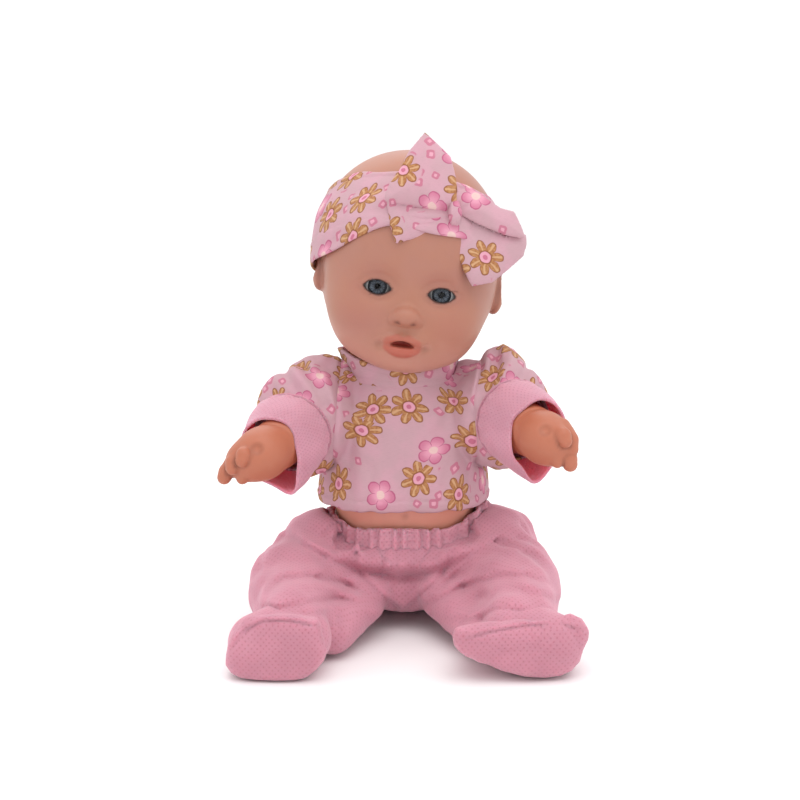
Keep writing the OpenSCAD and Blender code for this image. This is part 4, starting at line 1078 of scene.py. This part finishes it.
def build_shirt():
    h = 0.75
    P_CL = mat_print("shirt_print")
    # body, with a slit at the back that the closure covers
    def body(P):
        slit = np.maximum(np.abs(P[..., 0]) - 0.8, np.maximum(58 - P[..., 2], 4 - P[..., 1]))
        return np.maximum(np.maximum(shirt_clip(P), seam_off(P)), -slit)
    V, F = cloth(shirt_outer, body, (-44, -34, 44), (44, 33, 107), h, 1.0)
    o = mesh("shirt_body_cloth", V, F, P_CL)
    flat_uv(o, V, F, np.stack([np.arctan2(V[:, 0], -(V[:, 1] + 1)) * 27, V[:, 2]], -1), 2 * PI * 27)
    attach(o, "torso"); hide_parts("shirt_body")
    # closure: an overlapping strip down the back
    def strip(P):
        s = np.maximum(np.abs(P[..., 0] - 1.2) - 5.0, np.maximum(60 - P[..., 2], 8 - P[..., 1]))
        return np.maximum(s, P[..., 2] - 90)
    V, F = cloth(lambda P: shirt_outer(P) - 1.1, strip, (-9, 5, 57), (11, 33, 93), h, 0.9)
    o = mesh("shirt_back_closure", V, F, P_CL)
    set_uv(o.data, np.stack([V[:, 0] + 60, V[:, 2] + 31], -1))
    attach(o, "torso"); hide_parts("shirt_back_fastener")
    # stand collar: flares towards the shoulders, lower under the chin
    cc = A([-1.0, 0.5, 96.0])
    def collar_at(P):
        q = P - cc
        ph = np.arctan2(q[..., 0], -q[..., 1])
        fr = np.clip(np.cos(ph), 0, 1); sd = np.abs(np.sin(ph)); hh = q[..., 2]
        R = 20.4 - 0.9 * fr + (0.04 + 0.12 * sd + 0.24 * np.clip(-np.sin(ph), 0, 1) ** 2 * sstep(-0.7, 0.0, np.cos(ph))) * np.maximum(hh, 0) + 0.3 * np.sin(7 * ph + 1) * sstep(-1, 5, hh)
        top = 8.6 - 3.2 * fr ** 2 + 0.4 * np.sin(3 * ph + 0.6) + 1.3 * gauss((ph + 0.9) / 0.5) + 1.4 * gauss((ph + 1.5) / 0.45) + 2.8 * sstep(-0.2, -0.8, np.cos(ph))
        return ph, nrm(q[..., :2]) - R, hh, top
    def collar(P):
        ph, r, hh, top = collar_at(P)
        stitch = 0.25 * gauss((hh - top + 1.6) / 0.35) + 0.25 * gauss((hh - 1.2) / 0.35)
        return np.sqrt(np.maximum(np.abs(r) - 0.35, 0) ** 2 + np.maximum(np.maximum(hh - top, -0.8 - hh), 0) ** 2) - 0.6 + stitch
    V, F = nets(collar, (-30, -26, 92), (28, 27, 108), h * 0.75)
    ph, r, hh, top = collar_at(V)
    o = mesh("shirt_neck_band", V, F, P_CL)
    set_uv(o.data, np.stack([ph * 21, hh + 12], -1), 2 * PI * 21)
    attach(o, "torso"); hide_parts("shirt_collar")
    for side, nm in ((1, "left"), (-1, "right")):
        def sl(P, side=side):
            q = arm_local(P, side)
            d = np.maximum(np.maximum(0.05 - seam_off(P), shirt_clip(P)), q[..., 2] - 29.4)
            return np.maximum(d, 20 - side * P[..., 0])
        lo = (20, -42, 52) if side > 0 else (-66, -44, 50); hi = (66, 26, 116) if side > 0 else (-20, 26, 112)
        V, F = cloth(shirt_outer, sl, lo, hi, h, 1.0)
        q = arm_local(V, side)
        o = mesh(nm + "_sleeve_cloth", V, F, P_CL)
        # cut along the underarm
        flat_uv(o, V, F, np.stack([ang(np.arctan2(q[:, 1], q[:, 0]), 1.2) * 19 + 7 * side, q[:, 2] + 40 + 9 * side], -1), 2 * PI * 19)
        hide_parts(nm + "_sleeve")
        a, d, u, w = arm_axes(side)
        (A([side * 25.0, 1.0, 82.0])) * 0.001
        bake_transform(o)
        # cuff: a wide loose band of knit, hanging a little
        def cuff(P, side=side):
            q = arm_local(P, side); s = q[..., 2]
            ph, r, ring, t = cuff_ring(q, side)
            R = ring + 0.9 + 0.8 * np.sin(PI * np.clip(t, 0, 1))
            R = R + t * (0.4 * np.cos(3 * ph + (1.0 if side > 0 else 2.4)) + 0.3 * np.cos(5 * ph + (2.5 if side > 0 else 0.3)))
            # hanging corner below, fullness on the outer upper side
            R = R + (4.6 if side > 0 else 4.4) * t * gauss(ang(ph, -1.45 if side > 0 else -1.0) / 0.36) + 1.0 * gauss(ang(ph, 2.3) / 0.8)
            R = R + 0.5 * hash_noise(P / 8.0, 21 if side > 0 else 23)
            # gathered seam to the sleeve
            R = R - 0.6 * gauss((s - 28.0) / 0.6) + 0.3 * np.cos(16 * ph) * gauss((s - 30) / 1.6)
            return np.maximum(np.maximum((r - R) * 0.94, s - 51), 24 - s)
        def cuff_end(P, side=side):
            q = arm_local(P, side); ph = cuff_ring(q, side)[0]
            end = 46.2 + 0.8 * np.cos(2 * ph + 0.8) + 0.4 * np.cos(5 * ph + side)
            return np.maximum(q[..., 2] - end, 27.2 - q[..., 2])
        lo = (22, -64, 52) if side > 0 else (-78, -64, 46); hi = (80, -4, 108) if side > 0 else (-22, -4, 106)
        V, F = cloth(cuff, cuff_end, lo, hi, h, 1.2, 0.6)
        q = arm_local(V, side)
        # the inner mask marks the inside layer for the painted glow of light through the knit
        o = mesh(nm + "_cuff_knit", V, F, CUFFK, attrs={"seam": gauss((q[:, 2] - 28.0) / 0.5), "inner": ((np.arange(len(V)) >= cloth.last[0]) & (np.arange(len(V)) < 2 * cloth.last[0])) * 1.0})
        set_uv(o.data, np.stack([np.arctan2(q[:, 1] + 2, q[:, 0]) * 17.2, q[:, 2]], -1), 2 * PI * 17.2)
        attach(o, nm + "_arm"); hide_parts(nm + "_cuff")


# =====================================================================
# trousers: gathered waistband, seat, footed legs
# =====================================================================
HIP_P = A([24.0, -8.0, 18.0]); HIP_N = A([0.80, -0.60, 0.0])
def waist_h(P):
    e = math.radians(10)
    return (P[..., 2] - 39.0) * math.cos(e) - P[..., 1] * math.sin(e) - 3.8 * np.clip(P[..., 0] / 31.0, 0, 1.2) ** 2


TR_LINES = [
    # lower edge of the belly fullness, running up beside the hips
    ([(-47, -51), (-39, -57.5), (-28, -64), (-12, -69), (2, -70.2), (15, -68.4), (28, -62), (39, -55.5), (51, -52.5)], 1.9, -1.5, 0.9),
    # creases from the crotch to the knees
    ([(-2, -83), (-11.8, -78), (-23.3, -72.6), (-34.9, -70), (-46.4, -71.2), (-54, -77)], 1.7, -1.15, 0.8),
    ([(-4, -84), (-13.7, -80.2), (-28.2, -79.2), (-42.6, -82), (-58, -84.4)], 1.6, -1.0, 0.8),
    ([(-26, -67), (-37, -63.5), (-48, -63.5), (-55, -67)], 2.2, -0.8, 0.6),
    ([(4, -83), (12.3, -80.8), (24.8, -74.4), (38.2, -70.4), (49.8, -70.2), (61, -74.4)], 1.7, -1.15, 0.8),
    ([(7, -81), (13.2, -76.5), (21.4, -70.4), (30.5, -64), (42, -57.6), (54, -54.4)], 2.0, -1.2, 0.8),
    ([(30, -79), (46.9, -75.6), (56, -78), (65, -81.4)], 2.2, -0.9, 0.7),
    ([(40, -62), (50, -61), (58, -65)], 2.2, -0.7, 0.6),
    # panel seams between the legs
    ([(-17, -68.5), (-15, -70.5), (-8, -77), (-1, -83), (1, -85)], 1.2, -1.0, 0.8), ([(19, -67.5), (17, -69.5), (10, -76), (3, -83), (1, -85)], 1.2, -1.0, -0.8),
    # over the insteps
    ([(-57.6, -82), (-47.6, -85), (-33.7, -84.6)], 1.6, -0.7, 0.7),
    ([(17, -88), (30, -87), (45, -85), (60, -85.4)], 1.8, -0.7, 0.7),
    # seams along the tops of the soles, and a soft dent in the left one
    ([(-67.0, -100), (-64, -94.5), (-60.5, -90.8), (-54, -87.8), (-43.7, -87.8), (-31, -90.4)], 0.8, -0.85, 0.8),
    ([(26, -95.2), (33.5, -92.6), (42, -91.0), (50.8, -89.6), (58.4, -89.4), (65.1, -90.0), (75, -91.8)], 0.8, -0.85, 0.8),
    ([(34, -99), (52, -99.5), (67, -95)], 2.4, -0.7, 0.6),
    # soft folds below the waist
    ([(-18, -52), (-21, -60)], 1.6, -0.9, 0.6), ([(14, -53), (16, -62)], 1.6, -0.9, -0.6),
    ([(-6, -56), (-7.5, -66)], 1.5, -0.8, 0.6), ([(5, -56), (6.5, -66)], 1.5, -0.8, -0.6),
    ([(-26, -49), (-31, -56)], 1.6, -0.8, 0.6), ([(24, -48), (29, -56)], 1.6, -0.8, -0.6),
    ([(-12, -55), (-14, -62)], 1.3, -0.6, 0.6), ([(10, -55), (11, -62)], 1.3, -0.6, -0.6),
]


# outline of each foot in the plane seen from the front (mm)
FOOT_R = [(-64.7, -87.3), (-67.5, -92.5), (-69.1, -97.3), (-69.6, -101.2), (-69.1, -105.2), (-67.1, -108.4), (-63.5, -110.8), (-57.6, -112.6), (-49.6, -113.2),
          (-41.7, -112.4), (-37.3, -110.4), (-33.0, -106.8), (-30.6, -103.2), (-29.4, -99.3), (-29.8, -95.3), (-31.0, -90.5), (-33.0, -87.0), (-39.7, -85.4), (-51.6, -84.6), (-59.6, -85.0)]
FOOT_L = [(75.4, -91.7), (75.0, -95.3), (73.0, -100.0), (71.5, -104.0), (68.3, -107.6), (63.5, -109.6), (57.6, -110.6), (49.6, -109.9), (40.5, -107.6), (31.8, -104.4),
          (26.2, -101.2), (21.8, -97.3), (20.6, -93.7), (21.8, -90.5), (29.8, -88.1), (43.7, -87.3), (55.6, -85.8), (67.5, -84.2), (72.2, -86.5)]


KNEE = (45, -36, 17); ANKLE = (40, -67, 13.4); HEEL = (38, -76, 12.4); TOE = (53.5, -80, 11.6)
def leg_core(q):
    """the vinyl leg and foot inside the cloth"""
    d = np.minimum(cone(q, (31, 0, 17.5), KNEE, 12.6, 12.6), cone(q, KNEE, ANKLE, 12.6, 9.8))
    for p in (HEEL, TOE, (46, -78, 12)): d = np.minimum(d, cone(q, ANKLE, p, 9.8, 9.2))
    return np.minimum(d, cone(q, HEEL, TOE, 9.2, 8.4))


def trouser_outer(P):
    x = np.abs(P[..., 0]); y, z = P[..., 1], P[..., 2]
    lf = P[..., 0] > 0
    q0 = np.stack([x, y, z], -1)
    q = np.stack([x + np.where(lf, 1.6, 0.8) * gauss((y + 28) / 18.0) * sstep(20, 34, x), y, z], -1)
    d = smin(ell(q, (0, -5, 30), (33.5, 24.0, 16.5)), ell(q, (0, 3.5, 17), (29.5, 22.5, 18.5)), 8)
    # thighs
    d = smin(d, cone(q, (22, -2, 20), (43.0, -35, 18.2), 18.6, 15.8), 8)
    d = smin(d, ell(q, (33.5, -6, 22.5), (18.5, 19, 15.0)), 8)
    # loose cloth standing up over the hips, more on the left
    d = smin(d, np.where(lf, ell(q, (37.0, -9, 29.5), (15.5, 19, 14.5)), ell(q, (34.5, -7, 28.5), (13.5, 19, 13.5))), 7)
    d = smin(d, ell(q, (44.0, -24, 20.5), (12.5, 17, 14.0)), 8)
    # calves, with loose cloth on the inside that reaches down to the floor
    d = smin(d, cone(q, (43.0, -35, 18), (42.0, -68, 15.0), 15.6, 13.2), 8)
    d = smin(d, cone(q, (9.5, -24, 16.0), (27.5, -60, 8.5), 8.0, 7.6), 7)
    # panel between the legs
    d = smin(d, ell(q, (0, -20, 15), (14, 10.5, 9.5)), 4)
    # belly fullness that hangs over
    d = smin(d, ell(q, (0, -19.0, 29.4), (33, 13.4, 11.0)), 3)
    # feet: soft and rounded, the sole turned to the front, the left one tipped further down
    a2, b2, w2 = to_view(P)
    d2 = np.where(lf, poly_sd(a2, b2, FOOT_L), poly_sd(a2, b2, FOOT_R)) * 0.9
    sole = np.where(lf, -(y + 90.6 - 0.22 * (z - 10) - 0.10 * (x - 46)) * 0.96, -(y + 91.0 - 0.05 * (x - 46) + 0.08 * (12 - z)) * 0.99)
    sole = sole + 1.5 * np.clip(1 + d2 / 15.0, 0, 1) ** 2
    bk = y + 64.0
    e1 = d2 + 0.22 * np.maximum(0, y + 84) + 3.8; e2 = np.maximum(sole, bk) + 3.8
    f = np.sqrt(np.maximum(e1, 0) ** 2 + np.maximum(e2, 0) ** 2) + np.minimum(np.maximum(e1, e2), 0) - 3.8
    d = smin(d, f, 6.5)
    # waist: runs up to the casing
    wh = waist_h(P)
    td = torso_d(P)
    lim = 3.5 + (3.4 + 1.6 * sstep(22, 30, x)) * np.maximum(0, -wh - 1.8) + (2.5 * np.maximum(0, x - 26.5) + 6.0 * np.maximum(0, x - 31.5)) * sstep(18, 8, y)
    lim = lim + 3.0 * np.maximum(0, -y - 25) * sstep(10, 22, x) + 0.5 * np.maximum(0, x - 22) * sstep(-8, -20, y) + 400 * sstep(-34, -46, y)
    d = smin(d, np.maximum(td - 3.8, np.maximum(wh - 3.0, -8 - wh)), 3)
    d = smax(d, td - lim, 3.0)
    th = np.arctan2(P[..., 0], -(y + 2))
    o = 0.8 * hash_noise(P / 11.0, 31) + 0.35 * hash_noise(P / 5.0, 37)
    pl = np.cos(23 * th + 2.2 * np.sin(3 * th)) * 0.6 + np.cos(37 * th + 1.0) * 0.4
    o = o + 1.2 * pl * gauss((wh + 4.0) / 4.4) * sstep(-1.0, -3.2, wh) + 0.6 * np.cos(15 * th + 1.5) * gauss((wh + 8) / 6.0)
    o = o * sstep(1.0, 6.0, z)
    o = o + folds(P, TR_LINES, sstep(4, -8, y))
    # seam between the legs
    o = o - 0.15 * gauss(P[..., 0] / 0.7) * (y < 0) * (z > 4)
    d = np.minimum(d - o, leg_core(q0) - 1.8)
    return smax(d, 0.35 - z, 1.6)


def hip_off(P):
    q = np.stack([np.abs(P[..., 0]), P[..., 1], P[..., 2]], -1)
    return (q - HIP_P) @ HIP_N


def build_trousers():
    h = 0.95
    knit = mat_knit("trouser_knit", lin(199, 140, 155))
    def top(P): return np.minimum(waist_h(P) + 2.2, 5.0 - torso_d(P))
    def seat(P): return np.maximum(top(P), hip_off(P))
    V, F = cloth(trouser_outer, seat, (-54, -42, -1), (54, 34, 50), h, 1.4)
    o = mesh("trouser_seat_knit", V, F, knit)
    set_uv_box(o.data)
    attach(o, "torso"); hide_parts("trouser_seat")
    for side, nm in ((1, "left"), (-1, "right")):
        def leg(P, side=side):
            return np.maximum(np.maximum(top(P), 0.05 - hip_off(P)), 1.0 - side * P[..., 0])
        lo = (2, -97, -1) if side > 0 else (-74, -97, -1); hi = (74, 32, 48) if side > 0 else (-2, 32, 48)
        V, F = cloth(trouser_outer, leg, lo, hi, h, 1.4)
        o = mesh(nm + "_trouser_leg_knit", V, F, knit)
        set_uv_box(o.data)
        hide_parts(nm + "_trouser_leg")
        p0 = HIP_P * A([side, 1, 1]); n = HIP_N * A([side, 1, 1])
        n = A([side * 0.68, -0.51, -0.53])     # a direction for the cloth by the waist, not used below
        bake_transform(o)
    # elastic inside the casing
    V, F = cloth(lambda P: torso_d(P) - 1.15, lambda P: np.abs(waist_h(P) - 0.3) - 1.6, (-36, -30, 30), (36, 26, 50), h, 0.6, 0.3)
    o = mesh("waist_elastic_band", V, F, mat_plain("elastic_web", (0.66, 0.64, 0.62), 0.85, var=0.20, scale=900.0, spec=0.15, bump=0.5))
    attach(o, "torso"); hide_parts("waist_elastic")
    # gathered casing at the waist
    def pleat(P):
        th = np.arctan2(P[..., 0], -(P[..., 1] + 2))
        return np.cos(31 * th + 2.5 * np.sin(2 * th)) * 0.6 + np.cos(47 * th + 2.0 * np.sin(3 * th + 1)) * 0.4, hash_noise(np.stack([np.cos(th) * 3, np.sin(th) * 3, 0 * th], -1), 41)
    def band(P):
        wh = waist_h(P); pl, big = pleat(P)
        o = 2.9 + 1.6 * np.sqrt(np.clip(1 - (np.maximum(wh + 0.2, 0) / 3.4) ** 2, 0, 1)) + 0.55 * np.maximum(0, -wh - 0.2) + 0.9 * pl + 0.7 * big * sstep(-4, -1, wh)
        # frill above the casing
        o = o + 0.7 * pl * sstep(1.2, 3.7, wh) - 0.5 * gauss((wh - 1.9) / 0.5)
        return torso_d(P) - o
    def band_ends(P):
        wh = waist_h(P); pl, big = pleat(P)
        return np.maximum(wh - (3.6 + 1.1 * big + 0.6 * pl), -3.6 - wh)
    V, F = cloth(band, band_ends, (-42, -38, 26), (42, 34, 54), h * 0.75, 1.2, 0.6)
    # the casing knit is a lighter copy of the trouser knit: painted light against the shadow of the shirt
    o = mesh("trouser_waist_casing", V, F, mat_knit("casing_knit_lightened", lin(208, 151, 165)))
    set_uv(o.data, np.stack([np.arctan2(V[:, 0], -(V[:, 1] + 2)) * 29, waist_h(V) + 80], -1), 2 * PI * 29)
    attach(o, "torso"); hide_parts("waistband")


# =====================================================================
# headband and bow
# =====================================================================
def cap_d(P):
    q = np.stack([np.abs(P[..., 0] - HX), P[..., 1], P[..., 2]], -1)
    d = ell(P - A([HX - 2.2, 0.0, 0.0]), (0, 4.0, 147.5), (36.2, 38.6, 36.6))
    d = smin(d, ell(q, (0, -7.0, 129), (31.6, 30.0, 24.0)), 12)
    return smin(d, ell(q, (0, -28.5, 154.0), (20, 9, 14)), 12)


BAND_N = A([0.0, math.sin(math.radians(24)), math.cos(math.radians(24))])
BAND_LINES = [
    ([(22, 74), (4, 77.5), (-16, 74)], 1.6, -0.7, 0.7),
    ([(22, 72), (6, 71), (-12, 66)], 1.6, -0.6, -0.6),
    ([(22, 77), (0, 84), (-20, 82)], 1.8, -0.7, 0.6),
    ([(-33, 60), (-20, 66), (-8, 67)], 1.6, -0.45, 0.6),
    ([(-33, 72), (-22, 76)], 1.6, -0.45, 0.6),
]


def build_headband(P_CL):
    h = 0.8
    c = A([HX, 3.0, 153.0])
    def band(P):
        d = cap_d(P)
        hg = (P - c) @ BAND_N
        R = roll(P)
        o = 1.35 + 0.35 * hash_noise(P / A([16.0, 16.0, 7.0]), 51) + folds(R, BAND_LINES, sstep(4, -8, R[..., 1]))
        # turned edges
        o = o + 0.25 * gauss((np.abs(hg) - 11.2) / 0.7) - 0.2 * gauss((np.abs(hg) - 10.0) / 0.45)
        # passes over the top of the ear
        o = o + 1.5 * gauss(nrm((P - A([HX - 35.0, -1.0, 138.5])) / A([7.0, 8.0, 6.0])))
        return d - o
    def edges(P):
        th = np.arctan2(P[..., 0] - HX, -(P[..., 1] - 3))
        hg = (P - c) @ BAND_N
        drop = 6.0 * sstep(-9, -32, P[..., 0] - HX) * sstep(24, 6, P[..., 1])
        return np.maximum(hg, -hg - drop) - (12.5 + 0.45 * np.sin(5 * th + 1) + 0.3 * np.sin(11 * th))
    V, F = cloth(band, edges, (-44, -44, 118), (40, 48, 190), h, 1.0)
    th = np.arctan2(V[:, 0] - HX, -(V[:, 1] - 3))
    o = mesh("headband_cloth", roll(V), F, P_CL)
    set_uv(o.data, np.stack([th * 38 + 11, (V - c) @ BAND_N + 5], -1), 2 * PI * 38)
    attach(o, "head"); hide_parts("headband")


def to_view(P):
    r = P - CAM_T; se, ce = math.sin(CAM_E), math.cos(CAM_E)
    w = r[..., 1] * ce - r[..., 2] * se
    k = CAM_D / (CAM_D + w)
    return r[..., 0] * k, (r[..., 1] * se + r[..., 2] * ce) * k, w


def poly_sd(a, b, pts):
    """signed distance to a closed polygon, negative inside"""
    pts = A(pts, dtype=float); Q = np.stack([a, b], -1)
    d = np.full(a.shape, 1e9); ins = np.zeros(a.shape, dtype=bool)
    for i in range(len(pts)):
        p, q = pts[i], pts[(i + 1) % len(pts)]; e = q - p
        t = np.clip(((Q - p) @ e) / (e @ e), 0, 1)
        v = Q - (p + t[..., None] * e)
        d = np.minimum(d, np.sqrt((v * v).sum(-1)))
        c = (p[1] > b) != (q[1] > b)
        ins ^= c & (a < (q[0] - p[0]) * (b - p[1]) / (q[1] - p[1] if q[1] != p[1] else 1e-9) + p[0])
    return np.where(ins, -d, d)


BOW_A = [(9.9, 106), (14.7, 101.6), (19.9, 96.5), (21.8, 89.3), (22.6, 83.4), (23, 76.6), (19.9, 74.2), (13.9, 75.2), (4, 77.3), (-5.4, 78.9), (-6, 81), (-4, 85.8), (0, 91.3), (3.6, 98.5)]
BOW_B = [(-5.2, 79.0), (4, 78.2), (13.9, 76.0), (20.5, 74.5), (19.0, 69.9), (15, 67.5), (9.9, 65.5), (-1.6, 62.3), (-3.8, 69.5)]
BOW_C = [(21.0, 74.8), (22.0, 82.5), (27, 84.0), (32.5, 81.4), (36.5, 78.2), (40.0, 76.0), (45.3, 74.6), (48, 69), (49.6, 64.2), (41.7, 65.6), (31.8, 69.6), (25, 73.2)]
BOW_D = [(21, 75.0), (24.6, 74.6), (31.8, 71.5), (41.7, 67.5), (49.8, 65.5), (50.2, 62.0), (48.8, 57.2), (42.5, 51.6), (36.5, 46.8), (28.6, 45.3), (25.4, 51.6), (22.4, 59.6), (20.8, 66.7)]


def lobe(P, pts, T, ka, kb, w0, seed, back=0.45):
    a, b, w = to_view(P)
    d2 = poly_sd(a, b, pts) - 0.3
    k = np.hypot(a - 21.5, b - 74.0)
    ang = np.arctan2(b - 74.0, a - 21.5)
    wc = w0 + ka * (a - 21.5) + kb * (b - 74.0) + 0.6 * hash_noise(np.stack([a, b, 0 * a], -1) / 9.0, seed)
    inn = 1 - np.exp(np.minimum(d2, 0) / 4.2)
    t = T * inn * sstep(-1.0, 10.0, k + 3)
    t = t + 0.55 * np.cos(9 * ang + seed) * gauss((k - 6) / 8.0) * inn
    up = wc - 0.55 - t; dn = wc + 0.55 + back * t
    s = np.maximum(up - w, w - dn)
    return smax(s, d2, 0.9)


def build_bow(P_CL):
    h = 0.7
    A_ = lambda P: lobe(P, BOW_A, 4.6, 0.16, 0.05, -48.6, 3)
    B_ = lambda P: lobe(P, BOW_B, 3.0, 0.17, 0.12, -47.6, 7)
    C_ = lambda P: lobe(P, BOW_C, 3.6, 0.40, 0.0, -48.6, 11)
    D_ = lambda P: lobe(P, BOW_D, 3.8, 0.45, -0.03, -46.2, 15)
    def uv_view(V, s):
        a, b, w = to_view(V)
        return np.stack([a * 0.92 + b * 0.38 + s, b * 0.92 - a * 0.38 + w * 0.25 + 1.7 * s], -1)
    def knot(P):
        a, b, w = to_view(P)
        q = np.stack([a, b, w], -1)
        d = ell(q, (21.7, 74.2, -49.0), (3.0, 5.2, 4.6))
        return d + 0.25 * np.cos((a - 21.7) * 2.6)
    for nm, f, s, node, lo, hi, flat in (
            ("bow_upper_wing_cloth", lambda P: np.minimum(A_(P), B_(P)), 0.0, "bow_upper_wing", (-12, -66, 138), (28, -14, 199), (0.040, 0.028)),
            ("bow_lower_wing_cloth", lambda P: np.minimum(C_(P), D_(P)), 33.0, "bow_lower_wing", (14, -66, 120), (58, -8, 180), (0.040, 0.028)),
            ("bow_knot_cloth", knot, 71.0, "bow_knot", (10, -58, 148), (32, -28, 178), (0.014, 0.010))):
        V, F = nets(f, lo, hi, h)
        o = mesh(nm, V, F, P_CL)
        set_uv(o.data, uv_view(V, s))
        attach(o, "head"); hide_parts(node)


# =====================================================================
# plain inner pieces taken over from the CAD: each gets its own material
# =====================================================================
def mat_vinyl_part(name):
    m = mat_skin(name, base=(0.44, 0.160, 0.094), warm=(0.46, 0.178, 0.108))
    return m


def dress_cad():
    steel = mat_plain("steel_part", (0.46, 0.46, 0.48), 0.28, 1.0, var=0.14, scale=500.0, spec=0.5, bump=0.05)
    brass = mat_plain("plated_contact", (0.55, 0.50, 0.40), 0.30, 1.0, var=0.16, scale=420.0, bump=0.05)
    white = mat_plain("white_plastic", (0.74, 0.73, 0.70), 0.42, var=0.05, scale=160.0, bump=0.08)
    dark = mat_plain("black_plastic", (0.025, 0.025, 0.028), 0.46, var=0.25, scale=200.0, bump=0.10)
    paper = mat_plain("cone_paper", (0.055, 0.050, 0.048), 0.85, var=0.35, scale=420.0, spec=0.2, bump=0.35)
    board = mat_plain("board_green", (0.030, 0.135, 0.060), 0.36, var=0.30, scale=240.0, bump=0.05)
    red = mat_plain("wire_red", (0.42, 0.025, 0.022), 0.40, var=0.10, scale=300.0)
    black = mat_plain("wire_black", (0.020, 0.020, 0.022), 0.40, var=0.20, scale=300.0)
    pink = mat_plain("pink_button", (0.52, 0.20, 0.25), 0.42, var=0.06, scale=160.0, bump=0.06)
    vinyl = mat_vinyl_part("leg_vinyl")
    use = {
        "left_leg": vinyl, "right_leg": vinyl,
        "torso_screws": steel, "battery_door_screw": steel, "button_spring": steel, "battery_cells": steel, "battery_contacts": brass,
        "neck_post": white, "neck_ring": white, "eye_retainers": white, "battery_box": white, "battery_door": white,
        "tummy_button": pink, "tact_switch": dark, "sound_chip": dark, "speaker_frame": dark, "power_slider": dark, "power_switch_base": dark,
        "speaker_cone": paper, "circuit_board": board, "battery_wires": red, "speaker_wires": black,
    }
    for k, m in use.items():
        o = NODE[k]
        o.data.materials.clear(); o.data.materials.append(m)


# =====================================================================
# put together
# =====================================================================
make_camera(); make_stage()
CUFFK = mat_knit("cuff_knit", lin(200, 146, 161))
build_head(); build_eyes(); build_arms(); build_torso(); build_shirt(); build_trousers()
BANDP = mat_print("band_print")
build_headband(BANDP); build_bow(BANDP)
dress_cad()
